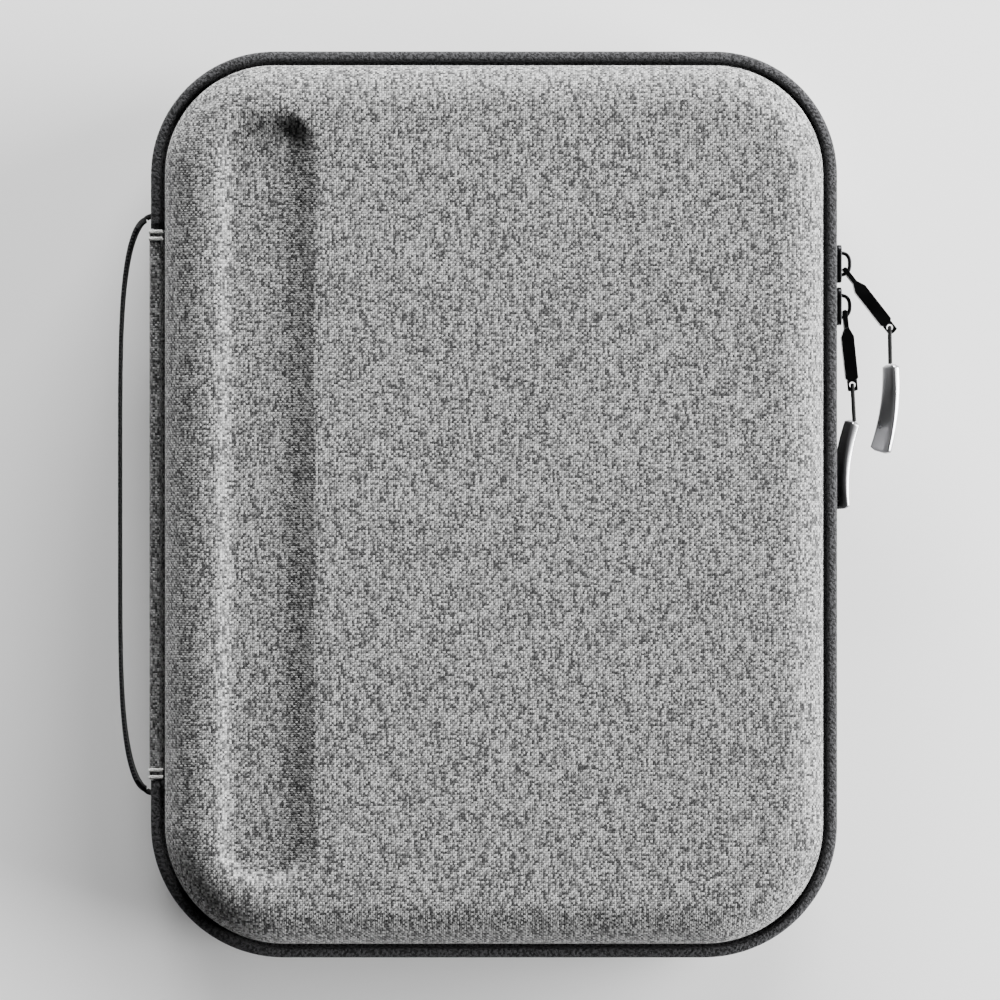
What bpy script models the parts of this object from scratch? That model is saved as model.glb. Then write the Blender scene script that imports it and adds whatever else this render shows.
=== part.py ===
"""Hard-shell zip case for an 11-inch tablet, lying closed on its back shell.

Metres, +Z up. The origin is the centre of the back shell's flat face. The spine and its
handle are at -X, the two zip sliders at +X, and +Y is the top of the case.
"""

import math

import bmesh
import bpy
from mathutils import Vector

# Driving sizes
BODY_WIDTH = 0.206
BODY_HEIGHT = 0.272
SHELL_DEPTH = 0.015
BAND_DEPTH = 0.013
TOP_CORNER_RADIUS = 0.037
BOTTOM_CORNER_RADIUS = 0.040
CORNER_STEPS = 8
GAP = 0.0003

RIM_WIDTH = 0.0043
SHELL_WALL = 0.0032
SHELL_EDGE_WIDTH = 0.0130
SHELL_EDGE_HEIGHT = 0.0105
FLANGE_WIDTH = 0.0026
FLANGE_THICKNESS = 0.0014
LINING_THICKNESS = 0.0012
BINDING_HEIGHT = 0.0044
BINDING_WALL = 0.0010

TAPE_THICKNESS = 0.0006
COIL_THICKNESS = 0.0020
COIL_WIDTH = 0.0026
CHAIN_GAP = 0.0012
CHAIN_INSET = 0.0010

SPINE_END_MARGIN = 0.0535
SPINE_PANEL_OVERHANG = 0.0055
SPINE_THICKNESS = 0.0024
SPINE_REACH = 0.0004
SPINE_LINING_THICKNESS = 0.0008
STITCH_LENGTH = 0.0032

CHANNEL_CENTRE_MARGIN = 0.0344
CHANNEL_TOP_MARGIN = 0.0180
CHANNEL_BOTTOM_MARGIN = 0.0220
CHANNEL_WIDTH = 0.0295
CHANNEL_DEPTH = 0.0028
CHANNEL_CORNER_RADIUS = 0.0115
CHANNEL_SLOPE_WIDTH = 0.0068

HANDLE_BOW = 0.0093
HANDLE_WIDTH = 0.0105
HANDLE_THICKNESS = 0.0012
HANDLE_END_OVERHANG = 0.0032
HANDLE_END_WIDTH = 0.0036
HANDLE_STANDOFF = 0.0014
HANDLE_WIDENING = 0.0025
HANDLE_STEPS = 24
HANDLE_ANCHOR_LENGTH = 0.0017

SLIDER_LENGTH = 0.0115
SLIDER_WIDTH = 0.0086
SLIDER_PLATE = 0.0014
SLIDER_LIP = 0.0008
SLIDER_POST_LENGTH = 0.0030
SLIDER_POST_WIDTH = 0.0006
UPPER_SLIDER_MARGIN = 0.0635
SLIDER_SPACING = 0.0128
ARCH_LENGTH = 0.0076
ARCH_HEIGHT = 0.0030
ARCH_WIDTH = 0.0030
ARCH_WALL = 0.0010

LINK_LENGTH = 0.0240
LINK_WIDTH = 0.0066
LINK_THICKNESS = 0.0038
LINK_NECK = 0.0055
LINK_PIN = 0.0014
LINK_END_LENGTH = 0.0040
LINK_END_WIDTH = 0.0026
LINK_HOLE = 0.0020
CORD_THICKNESS = 0.0011
CORD_LENGTH = 0.0110
GRIP_TOP_LENGTH = 0.0122
GRIP_TAIL_LENGTH = 0.0142
GRIP_WIDTH = 0.0078
GRIP_THICKNESS = 0.0050
GRIP_TAIL_THICKNESS = 0.0032
# Headings of link, cord, grip top and grip tail, from straight down the side outwards
UPPER_PULL_HEADINGS = (38, 1, -3, -12)
LOWER_PULL_HEADINGS = (6, 3, -14, -4)

TABLET_SIDE_ROOM = 0.00475
TABLET_END_ROOM = 0.0032
TABLET_THICKNESS = 0.0070
STRAP_WIDTH = 0.0080
STRAP_THICKNESS = 0.0010
CORNER_STRAP_REACH = 0.0340
CORNER_STRAP_TUCK = 0.0032
CORNER_STRAP_RISE = 0.0022

POCKET_LEFT_ROOM = 0.0490
POCKET_RIGHT_ROOM = 0.0190
POCKET_TOP_ROOM = 0.0670
POCKET_BOTTOM_ROOM = 0.0170
POCKET_WALL = 0.0020
POCKET_THICKNESS = 0.0010
POCKET_DEPTH = 0.0050
POCKET_HEM = 0.0080
POCKET_COIL_WIDTH = 0.0040
POCKET_SLIDER_LENGTH = 0.0090
POCKET_SLIDER_MARGIN = 0.0150
POCKET_PULL_LENGTH = 0.0095
PEN_LOOP_LENGTH = 0.0360
PEN_LOOP_WIDTH = 0.0140
PEN_LOOP_HEIGHT = 0.0115

# Sizes that follow
TOTAL_DEPTH = 2 * SHELL_DEPTH + BAND_DEPTH
BACK_RIM = SHELL_DEPTH
FRONT_RIM = SHELL_DEPTH + BAND_DEPTH
MIDDLE = TOTAL_DEPTH / 2
FLOOR_TOP = SHELL_WALL + GAP + LINING_THICKNESS
SPINE_OUTER_X = -BODY_WIDTH / 2 - SPINE_REACH
LINING_INSET = RIM_WIDTH + SHELL_WALL + GAP + LINING_THICKNESS
SPINE_LENGTH = BODY_HEIGHT - 2 * SPINE_END_MARGIN
SPINE_PANEL_LENGTH = SPINE_LENGTH + 2 * SPINE_PANEL_OVERHANG
HANDLE_END_Y = SPINE_LENGTH / 2 + HANDLE_END_OVERHANG
CHANNEL_CENTRE_X = CHANNEL_CENTRE_MARGIN - BODY_WIDTH / 2
CHANNEL_CENTRE_Y = (CHANNEL_BOTTOM_MARGIN - CHANNEL_TOP_MARGIN) / 2
CHANNEL_HEIGHT = BODY_HEIGHT - CHANNEL_TOP_MARGIN - CHANNEL_BOTTOM_MARGIN
UPPER_SLIDER_Y = BODY_HEIGHT / 2 - UPPER_SLIDER_MARGIN
LOWER_SLIDER_Y = UPPER_SLIDER_Y - SLIDER_SPACING
TABLET_WIDTH = BODY_WIDTH - 2 * (LINING_INSET + TABLET_SIDE_ROOM)
TABLET_HEIGHT = BODY_HEIGHT - 2 * (LINING_INSET + TABLET_END_ROOM)
POCKET_LEFT_X = LINING_INSET + POCKET_LEFT_ROOM - BODY_WIDTH / 2
POCKET_RIGHT_X = BODY_WIDTH / 2 - LINING_INSET - POCKET_RIGHT_ROOM
POCKET_TOP_Y = BODY_HEIGHT / 2 - LINING_INSET - POCKET_TOP_ROOM
POCKET_LOW_Y = LINING_INSET + POCKET_BOTTOM_ROOM - BODY_HEIGHT / 2
POCKET_SLIDER_X = POCKET_RIGHT_X - POCKET_SLIDER_MARGIN

HEATHER = ("heather_fabric", (0.26, 0.26, 0.26), 0.9, 0.0)
HEATHER_DARK = ("spine_fabric", (0.16, 0.16, 0.16), 0.9, 0.0)
CHARCOAL = ("charcoal_tape", (0.05, 0.05, 0.055), 0.85, 0.0)
COIL_BLACK = ("coil_nylon", (0.02, 0.02, 0.02), 0.45, 0.0)
FLEECE = ("fleece_lining", (0.06, 0.06, 0.065), 1.0, 0.0)
MESH_BLACK = ("pocket_mesh", (0.02, 0.02, 0.02), 0.9, 0.0)
ELASTIC = ("elastic_band", (0.03, 0.03, 0.03), 0.8, 0.0)
WEBBING = ("handle_webbing", (0.03, 0.03, 0.03), 0.8, 0.0)
THREAD = ("white_thread", (0.75, 0.75, 0.73), 0.8, 0.0)
BLACK_METAL = ("black_metal", (0.02, 0.02, 0.022), 0.35, 1.0)
CORD_BLACK = ("pull_cord", (0.015, 0.015, 0.015), 0.8, 0.0)
GUNMETAL = ("gunmetal_grip", (0.35, 0.35, 0.36), 0.3, 1.0)


def clear_scene():
    for obj in list(bpy.data.objects):
        bpy.data.objects.remove(obj, do_unlink=True)


def material(spec):
    name, colour, roughness, metallic = spec
    made = bpy.data.materials.get(name) or bpy.data.materials.new(name)
    made.use_nodes = True
    shader = made.node_tree.nodes["Principled BSDF"]
    shader.inputs["Base Color"].default_value = (*colour, 1.0)
    shader.inputs["Roughness"].default_value = roughness
    shader.inputs["Metallic"].default_value = metallic
    return made


def add_mesh(name, points, faces, spec, origin=(0, 0, 0)):
    """A named mesh object from world points, with its origin moved to origin."""
    origin = Vector(origin)
    data = bpy.data.meshes.new(name)
    data.from_pydata([Vector(p) - origin for p in points], [], faces)
    obj = bpy.data.objects.new(name, data)
    obj.location = origin
    bpy.context.scene.collection.objects.link(obj)
    data.materials.append(material(spec))
    mesh = bmesh.new()
    mesh.from_mesh(data)
    bmesh.ops.recalc_face_normals(mesh, faces=mesh.faces)
    mesh.to_mesh(data)
    mesh.free()
    return obj


def loft(name, rings, spec, origin=(0, 0, 0), closed_path=False):
    """A solid skin over rings of equal length: capped at both ends, or joined into a loop."""
    count = len(rings[0])
    points = [point for ring in rings for point in ring]
    pairs = list(zip(range(len(rings) - 1), range(1, len(rings))))
    if closed_path:
        pairs.append((len(rings) - 1, 0))
    faces = []
    for first, second in pairs:
        for i in range(count):
            j = (i + 1) % count
            faces.append((first * count + i, first * count + j, second * count + j, second * count + i))
    if not closed_path:
        faces.append(tuple(range(count)))
        faces.append(tuple(range((len(rings) - 1) * count, len(rings) * count)))
    return add_mesh(name, points, faces, spec, origin)


def box(name, low, high, spec, origin=None):
    (x0, y0, z0), (x1, y1, z1) = low, high
    rings = [[(x0, y0, z), (x1, y0, z), (x1, y1, z), (x0, y1, z)] for z in (z0, z1)]
    centre = ((x0 + x1) / 2, (y0 + y1) / 2, (z0 + z1) / 2)
    return loft(name, rings, spec, origin or centre)


def soften(obj, width, segments=2):
    bevel = obj.modifiers.new("soften", "BEVEL")
    bevel.width = width
    bevel.segments = segments
    bevel.limit_method = "ANGLE"
    return obj


def smooth(obj):
    for polygon in obj.data.polygons:
        polygon.use_smooth = True
    return obj


def hide_cutter(obj):
    obj.hide_render = True
    obj.display_type = "WIRE"
    return obj


def boolean(obj, other, operation):
    modifier = obj.modifiers.new(operation.lower() + "_" + other.name, "BOOLEAN")
    modifier.operation = operation
    modifier.object = other
    hide_cutter(other)
    return obj


def arc(centre, radius, start, end, steps):
    """Points on a level arc, both ends included; the angles are in radians."""
    turns = [start + (end - start) * i / steps for i in range(steps + 1)]
    return [(centre[0] + radius * math.cos(a), centre[1] + radius * math.sin(a)) for a in turns]


def rounded_rectangle(width, height, top_radius, bottom_radius, centre=(0, 0)):
    """Level outline, anticlockwise from the upper left corner's top."""
    x, y = width / 2, height / 2
    top, bottom = top_radius, bottom_radius
    quarter = math.pi / 2
    corners = (
        ((-x + top, y - top), top, quarter),
        ((-x + bottom, -y + bottom), bottom, 2 * quarter),
        ((x - bottom, -y + bottom), bottom, 3 * quarter),
        ((x - top, y - top), top, 4 * quarter),
    )
    points = []
    for middle, radius, start in corners:
        points += arc(middle, radius, start, start + quarter, CORNER_STEPS)
    return [(px + centre[0], py + centre[1]) for px, py in points]


def body_outline(inset):
    """The case's outline, drawn in by inset on every side."""
    return rounded_rectangle(
        BODY_WIDTH - 2 * inset,
        BODY_HEIGHT - 2 * inset,
        TOP_CORNER_RADIUS - inset,
        BOTTOM_CORNER_RADIUS - inset,
    )


def level_ring(outline, z):
    return [(x, y, z) for x, y in outline]


def flip(z, upper):
    """A height measured from the back face, or the same height down from the front face."""
    return TOTAL_DEPTH - z if upper else z


def dome(name, inset, floor, rim, thickness, upper, spec, flange=False):
    """A solid pan: flat at height floor, rounded to its walls, then straight up to height rim.
    thickness is how far it lies inside the shell's outer face, which sets its edge rounding."""
    steps = 5
    rings = []
    for i in range(steps + 1):
        turn = math.pi / 2 * i / steps
        across = (SHELL_EDGE_WIDTH - thickness) * (1 - math.sin(turn))
        up = (SHELL_EDGE_HEIGHT - thickness) * (1 - math.cos(turn))
        rings.append((inset + across, floor + up))
    if flange:
        top = BACK_RIM - BINDING_WALL - GAP
        bottom = top - FLANGE_THICKNESS
        edge = inset - FLANGE_WIDTH
        rings += [(inset, bottom), (edge, bottom), (edge, top), (inset, top)]
    rings.append((inset, rim))
    return loft(name, [level_ring(body_outline(i), flip(z, upper)) for i, z in rings], spec)


def channel(name, thickness, spec):
    """The long shallow recess moulded into the front, as a solid that reaches above the face.
    thickness is how far this surface lies under the shell's outer face."""
    steps = 4
    rings = [(0, -CHANNEL_DEPTH)]
    for i in range(steps + 1):
        share = i / steps
        drop = CHANNEL_DEPTH * (1 - math.cos(math.pi * share)) / 2
        rings.append((CHANNEL_SLOPE_WIDTH * share, thickness + drop))
    outlines = []
    for inset, depth in rings:
        outline = rounded_rectangle(
            CHANNEL_WIDTH + 2 * (thickness - inset),
            CHANNEL_HEIGHT + 2 * (thickness - inset),
            CHANNEL_CORNER_RADIUS + thickness - inset,
            CHANNEL_CORNER_RADIUS + thickness - inset,
            (CHANNEL_CENTRE_X, CHANNEL_CENTRE_Y),
        )
        outlines.append(level_ring(outline, TOTAL_DEPTH - depth))
    return loft(name, outlines, spec)


def pan(name, inset, thickness, wall, upper, spec, flange=False):
    """A hollow moulded half: its outer face at thickness under the shell's, wall thick."""
    half = "front" if upper else "back"
    inside = thickness + wall
    outer = dome(name, inset, thickness, BACK_RIM, thickness, upper, spec, flange)
    cavity = dome(
        "cutter_cavity_" + name, inset + wall, inside, BACK_RIM + wall, inside, upper, spec
    )
    if half == "front":
        boolean(outer, channel("cutter_channel_" + name, thickness, spec), "DIFFERENCE")
        boolean(cavity, channel("cutter_bump_" + name, inside, spec), "DIFFERENCE")
    boolean(outer, cavity, "DIFFERENCE")
    return smooth(outer)


def rim_path(inset, end_y):
    """The outline as an open path: from the spine's upper end over the top, down the right
    side and back along the bottom to the spine's lower end."""
    clockwise = body_outline(inset)[::-1]
    corner = CORNER_STEPS + 1
    x = -BODY_WIDTH / 2 + inset
    return [(x, end_y)] + clockwise[-corner:] + clockwise[:-corner] + [(x, -end_y)]


def rim_sweep(name, section, end_y, upper, spec):
    """A strip that follows the rim; section is (inset, height) points."""
    paths = [(rim_path(inset, end_y), flip(z, upper)) for inset, z in section]
    count = len(paths[0][0])
    rings = [[(*path[i], z) for path, z in paths] for i in range(count)]
    return smooth(loft(name, rings, spec))


def binding_section(outer):
    """Woven tape folded round the shell's flange; outer is the inset of its outermost line."""
    top = BACK_RIM
    bottom = BACK_RIM - BINDING_HEIGHT
    slot_top = top - BINDING_WALL
    slot_bottom = slot_top - FLANGE_THICKNESS - 2 * GAP
    slot_end = RIM_WIDTH - FLANGE_WIDTH - GAP
    inner = RIM_WIDTH - GAP
    round_in = 0.0009
    return [
        (inner, top),
        (outer + round_in, top),
        (outer + round_in / 4, top - round_in / 3),
        (outer, top - round_in),
        (outer, bottom + round_in),
        (outer + round_in / 4, bottom + round_in / 3),
        (outer + round_in, bottom),
        (inner, bottom),
        (inner, slot_bottom),
        (slot_end, slot_bottom),
        (slot_end, slot_top),
        (inner, slot_top),
    ]


def tape_section():
    low = BACK_RIM + GAP
    high = MIDDLE - CHAIN_GAP / 2 - COIL_WIDTH - GAP
    near = CHAIN_INSET - TAPE_THICKNESS / 2
    far = CHAIN_INSET + TAPE_THICKNESS / 2
    return [(near, low), (far, low), (far, high), (near, high)]


def coil_section():
    """A flattened eight-sided tube round the zip's row of teeth."""
    centre = MIDDLE - CHAIN_GAP / 2 - COIL_WIDTH / 2
    points = []
    for i in range(8):
        turn = math.pi / 8 + i * math.pi / 4
        scale = 1 / math.cos(math.pi / 8)
        inset = CHAIN_INSET + COIL_THICKNESS / 2 * scale * math.cos(turn)
        points.append((inset, centre + COIL_WIDTH / 2 * scale * math.sin(turn)))
    return points


def make_half(half, upper):
    pan(half + "_shell", RIM_WIDTH, 0, SHELL_WALL, upper, HEATHER, flange=True)
    inset = RIM_WIDTH + SHELL_WALL + GAP
    pan(half + "_lining", inset, SHELL_WALL + GAP, LINING_THICKNESS, upper, FLEECE)
    binding_end = SPINE_LENGTH / 2 + GAP
    rim_sweep(half + "_rim_binding", binding_section(0), binding_end, upper, CHARCOAL)
    chain_end = SPINE_PANEL_LENGTH / 2 + GAP
    rim_sweep(half + "_zip_tape", tape_section(), chain_end, upper, CHARCOAL)
    rim_sweep(half + "_zip_coil", coil_section(), chain_end, upper, COIL_BLACK)


def spine_hem(name, upper):
    """The edge of the spine's fabric, folded round the shell's flange like the binding."""
    edge = -BODY_WIDTH / 2
    section = [(edge + inset, flip(z, upper)) for inset, z in binding_section(-SPINE_REACH)]
    ends = (-SPINE_LENGTH / 2, SPINE_LENGTH / 2)
    rings = [[(x, y, z) for x, z in section] for y in ends]
    return loft(name, rings, HEATHER_DARK)


def stitch(name, upper, side):
    """A bartack across the hem near the spine's end: two lines of thread joined at the left."""
    thick = 0.0004
    line = 0.0005
    x0 = SPINE_OUTER_X + line
    x1 = -BODY_WIDTH / 2 + RIM_WIDTH - GAP - line
    y1 = SPINE_LENGTH / 2 - line
    y0 = y1 - STITCH_LENGTH
    low = BACK_RIM - BINDING_HEIGHT - GAP - thick
    outline = [
        (x0, y0), (x1, y0), (x1, y0 + line), (x0 + line, y0 + line),
        (x0 + line, y1 - line), (x1, y1 - line), (x1, y1), (x0, y1),
    ]
    heights = (flip(low, upper), flip(low + thick, upper))
    rings = [[(x, side * y, z) for x, y in outline] for z in heights]
    return loft(name, rings, THREAD)


def make_spine():
    spine_hem("back_spine_hem", False)
    spine_hem("front_spine_hem", True)
    half = SPINE_PANEL_LENGTH / 2
    inner_x = SPINE_OUTER_X + SPINE_THICKNESS
    hinge = (SPINE_OUTER_X, 0, BACK_RIM)
    box(
        "spine_panel",
        (SPINE_OUTER_X, -half, BACK_RIM + GAP),
        (inner_x, half, FRONT_RIM - GAP),
        HEATHER_DARK,
        hinge,
    )
    box(
        "spine_lining",
        (inner_x + GAP, -SPINE_LENGTH / 2, BACK_RIM + 2 * GAP),
        (inner_x + GAP + SPINE_LINING_THICKNESS, SPINE_LENGTH / 2, FRONT_RIM - 2 * GAP),
        FLEECE,
        hinge,
    )
    for side, end in ((1, "upper"), (-1, "lower")):
        stitch("front_bartack_" + end, True, side)
        stitch("back_bartack_" + end, False, side)


def handle_ring(share):
    """One cross-section of the strap; share runs from -1 at its lower end to 1 at its upper.
    The bow is standoff + (bow - standoff) (1 - share^5)^0.56 away from the spine."""
    y = HANDLE_END_Y * share
    rise = max(0.0, 1 - abs(share) ** 5) ** 0.56
    bow = (HANDLE_BOW - HANDLE_STANDOFF) * rise
    widening = min(1.0, bow / HANDLE_WIDENING)
    half_width = (HANDLE_END_WIDTH + (HANDLE_WIDTH - HANDLE_END_WIDTH) * widening) / 2
    return (SPINE_OUTER_X - HANDLE_STANDOFF - bow, y), half_width


def make_handle():
    shares = [math.sin(math.pi / 2 * (2 * i / HANDLE_STEPS - 1)) for i in range(HANDLE_STEPS + 1)]
    places = [handle_ring(share) for share in shares]
    rings = []
    for i, ((x, y), half_width) in enumerate(places):
        before = Vector(places[max(i - 1, 0)][0])
        after = Vector(places[min(i + 1, HANDLE_STEPS)][0])
        along = (after - before).normalized()
        if i in (0, HANDLE_STEPS):
            along = Vector((0, 1))
        across = Vector((along.y, -along.x)) * HANDLE_THICKNESS / 2
        corners = ((1, -1), (1, 1), (-1, 1), (-1, -1))
        rings.append(
            [(x + a * across.x, y + a * across.y, MIDDLE + b * half_width) for a, b in corners]
        )
    axis = (SPINE_OUTER_X - HANDLE_STANDOFF, 0, MIDDLE)
    smooth(loft("handle_strap", rings, WEBBING, axis))
    for side, end in ((1, "upper"), (-1, "lower")):
        ys = sorted(
            side * y for y in (HANDLE_END_Y + GAP, HANDLE_END_Y + GAP + HANDLE_ANCHOR_LENGTH)
        )
        outer = HANDLE_STANDOFF + HANDLE_THICKNESS / 2
        box(
            "handle_anchor_" + end,
            (SPINE_OUTER_X - outer, ys[0], MIDDLE - HANDLE_END_WIDTH / 2),
            (SPINE_OUTER_X - GAP, ys[1], MIDDLE + HANDLE_END_WIDTH / 2),
            WEBBING,
        )


def outline_block(name, outline, z_low, z_high, spec, origin):
    """A level outline raised from z_low to z_high."""
    return loft(name, [[(x, y, z) for x, y in outline] for z in (z_low, z_high)], spec, origin)


def heading(degrees):
    """Unit vectors along and out for a piece that points down the side, turned outwards."""
    turn = math.radians(degrees)
    return Vector((math.sin(turn), -math.cos(turn))), Vector((math.cos(turn), math.sin(turn)))


def turned(start, degrees, outline):
    """The (along, out) outline placed at start and turned to its heading."""
    along, out = heading(degrees)
    placed = [Vector(start) + along * a + out * b for a, b in outline]
    return [(point.x, point.y) for point in placed]


def make_slider(name, centre_y, nose):
    """A two-plate slider joined by its post; nose is +1 or -1 along Y, where the post lies.
    The lips on the front half's side are left off, so the cover's teeth lift straight out."""
    chain = BODY_WIDTH / 2 - CHAIN_INSET
    outer = chain + COIL_THICKNESS / 2 + GAP
    inner = chain - COIL_THICKNESS / 2 - GAP
    tape = TAPE_THICKNESS / 2 + GAP
    low = MIDDLE - SLIDER_WIDTH / 2
    high = MIDDLE + SLIDER_WIDTH / 2
    y0 = centre_y - SLIDER_LENGTH / 2
    y1 = centre_y + SLIDER_LENGTH / 2
    inside = SLIDER_PLATE / 2
    body = box(name, (outer, y0, low), (outer + SLIDER_PLATE, y1, high), BLACK_METAL)
    post_y = centre_y + nose * (SLIDER_LENGTH / 2 - SLIDER_POST_LENGTH)
    half_post = SLIDER_POST_WIDTH / 2
    arch_base = outer + inside
    arch_top = outer + SLIDER_PLATE + ARCH_HEIGHT
    half_arch = ARCH_LENGTH / 2
    half_width = ARCH_WIDTH / 2
    window = half_arch - ARCH_WALL
    parts = {
        "inner_plate": ((inner - SLIDER_PLATE, y0, low), (inner, y1, high)),
        "post": (
            (inner - inside, post_y - SLIDER_POST_LENGTH / 2, MIDDLE - half_post),
            (outer + inside, post_y + SLIDER_POST_LENGTH / 2, MIDDLE + half_post),
        ),
        "outer_lip": ((chain + tape, y0 + GAP, low + GAP / 3), (outer + inside, y1 - GAP, low + SLIDER_LIP)),
        "inner_lip": ((inner - inside, y0 + GAP, low + GAP / 3), (chain - tape, y1 - GAP, low + SLIDER_LIP)),
        "arch": (
            (arch_base, centre_y - half_arch, MIDDLE - half_width),
            (arch_top, centre_y + half_arch, MIDDLE + half_width),
        ),
    }
    for part, (start, end) in parts.items():
        boolean(body, box("cutter_" + part + "_" + name, start, end, BLACK_METAL), "UNION")
    hole = box(
        "cutter_window_" + name,
        (outer + SLIDER_PLATE, centre_y - window, low),
        (arch_top - ARCH_WALL, centre_y + window, high),
        BLACK_METAL,
    )
    return boolean(body, hole, "DIFFERENCE")


def pull_pivot(centre_y):
    """Where the link's pin lies in the slider's arch."""
    window_x = BODY_WIDTH / 2 - CHAIN_INSET + COIL_THICKNESS / 2 + GAP + SLIDER_PLATE
    x = window_x + (ARCH_HEIGHT - ARCH_WALL) / 2
    return Vector((x, centre_y - ARCH_LENGTH / 2 + ARCH_WALL + LINK_PIN / 2 + GAP))


def link_end(centre_y, headings):
    along, _ = heading(headings[0])
    return pull_pivot(centre_y) + along * (LINK_LENGTH - LINK_END_LENGTH / 2)


def make_link(name, centre_y, headings):
    """A forked tab: two cheeks and a pin through the slider's arch, and an eye for the cord."""
    start = pull_pivot(centre_y)
    origin = (start.x, start.y, MIDDLE)
    pin = LINK_PIN / 2
    thick = LINK_THICKNESS / 2
    wide = LINK_WIDTH / 2
    cheek = ARCH_WIDTH / 2 + GAP
    end = LINK_LENGTH - LINK_END_LENGTH
    narrow = LINK_END_WIDTH / 2
    corner = pin / 2
    round_pin = [(-pin, -corner), (-pin, corner), (-corner, pin), (corner, pin),
                 (pin, corner), (pin, -corner), (corner, -pin), (-corner, -pin)]
    cheek_side = [(-pin, -corner), (-pin, corner), (-corner, pin), (LINK_NECK, pin),
                  (LINK_NECK, -pin), (-corner, -pin)]
    body_side = [(LINK_NECK - pin, -pin), (LINK_NECK - pin, pin), (LINK_NECK + thick, thick),
                 (end, thick), (end + pin, thick - pin), (end + pin, pin - thick),
                 (end, -thick), (LINK_NECK + thick, -thick)]
    eye_side = [(end - pin, -thick / 2), (end - pin, thick / 2), (end + pin, thick * 0.8),
                (LINK_LENGTH - corner, thick * 0.8), (LINK_LENGTH, corner), (LINK_LENGTH, -corner),
                (LINK_LENGTH - corner, -thick * 0.8), (end + pin, -thick * 0.8)]

    def block(part, side, z_low, z_high):
        outline = turned(start, headings[0], side)
        return outline_block(part, outline, MIDDLE + z_low, MIDDLE + z_high, BLACK_METAL, origin)

    link = block(name, body_side, -wide, wide)
    boolean(link, block("cutter_upper_cheek_" + name, cheek_side, cheek, wide - GAP / 3), "UNION")
    boolean(link, block("cutter_lower_cheek_" + name, cheek_side, GAP / 3 - wide, -cheek), "UNION")
    boolean(link, block("cutter_pin_" + name, round_pin, -wide + GAP, wide - GAP), "UNION")
    boolean(link, block("cutter_eye_" + name, eye_side, -narrow, narrow), "UNION")
    hole = link_end(centre_y, headings)
    outline = arc(hole, LINK_HOLE / 2, 0, 2 * math.pi * 11 / 12, 11)
    boolean(link, outline_block("cutter_hole_" + name, outline, 0, TOTAL_DEPTH, BLACK_METAL, origin), "DIFFERENCE")
    return link


def tube(name, points, radius, spec, origin, sides=8):
    """A closed tube along a list of points, mitred at each of them."""
    points = [Vector(point) for point in points]
    rings = []
    normal = Vector((0, 0, 1)).cross(points[1] - points[0])
    across = normal.normalized() if normal.length else Vector((1, 0, 0))
    for i, point in enumerate(points):
        before = (point - points[i - 1]).normalized() if i else None
        after = (points[i + 1] - point).normalized() if i + 1 < len(points) else None
        along = ((before or after) + (after or before)).normalized()
        up = across.cross(along).normalized()
        stretch = 1 / max(0.5, along.dot(after or before))
        ring = []
        for k in range(sides):
            turn = 2 * math.pi * (k + 0.5) / sides
            ring.append(point + across * radius * math.cos(turn) + up * radius * stretch * math.sin(turn))
        rings.append([tuple(corner) for corner in ring])
    return smooth(loft(name, rings, spec, origin))


def make_cord(name, centre_y, headings):
    """A loop of cord: through the link's eye and down both sides of it into the grip."""
    eye = link_end(centre_y, headings)
    along, _ = heading(headings[1])
    radius = CORD_THICKNESS / 2
    side = LINK_END_WIDTH / 2 + GAP + radius
    corner = radius
    foot = eye + along * CORD_LENGTH
    shoulder = eye + along * corner
    route = [(foot, -side), (shoulder, -side), (eye, corner - side), (eye, side - corner),
             (shoulder, side), (foot, side)]
    points = [(point.x, point.y, MIDDLE + z) for point, z in route]
    return tube(name, points, radius, CORD_BLACK, (eye.x, eye.y, MIDDLE))


def make_grip(name, centre_y, headings):
    """A flat moulded tab with one bend, thinner towards its tail."""
    eye = link_end(centre_y, headings)
    cord_along, _ = heading(headings[1])
    top_along, top_out = heading(headings[2])
    tail_along, tail_out = heading(headings[3])
    top = eye + cord_along * (CORD_LENGTH + GAP)
    bend = top + top_along * GRIP_TOP_LENGTH
    tail = bend + tail_along * GRIP_TAIL_LENGTH
    bend_out = (top_out + tail_out).normalized()
    stations = (
        (top, top_out, GRIP_THICKNESS * 0.8, GRIP_WIDTH * 0.9),
        (top + top_along * 0.0012, top_out, GRIP_THICKNESS, GRIP_WIDTH),
        (bend, bend_out, GRIP_THICKNESS, GRIP_WIDTH),
        (tail - tail_along * 0.0010, tail_out, GRIP_TAIL_THICKNESS, GRIP_WIDTH * 0.9),
        (tail, tail_out, GRIP_TAIL_THICKNESS * 0.6, GRIP_WIDTH * 0.8),
    )
    rings = []
    for point, out, thick, wide in stations:
        a, b, cut = thick / 2, wide / 2, 0.0008
        corners = ((a, b - cut), (a - cut, b), (cut - a, b), (-a, b - cut),
                   (-a, cut - b), (cut - a, -b), (a - cut, -b), (a, cut - b))
        rings.append([(point.x + out.x * s, point.y + out.y * s, MIDDLE + z) for s, z in corners])
    return loft(name, rings, GUNMETAL, (eye.x, eye.y, MIDDLE))


def make_zip_hardware():
    pulls = (
        ("upper", UPPER_SLIDER_Y, -1, UPPER_PULL_HEADINGS),
        ("lower", LOWER_SLIDER_Y, 1, LOWER_PULL_HEADINGS),
    )
    for place, centre_y, nose, headings in pulls:
        make_slider(place + "_slider", centre_y, nose)
        make_link(place + "_pull_link", centre_y, headings)
        make_cord(place + "_pull_cord", centre_y, headings)
        make_grip(place + "_pull_grip", centre_y, headings)


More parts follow.
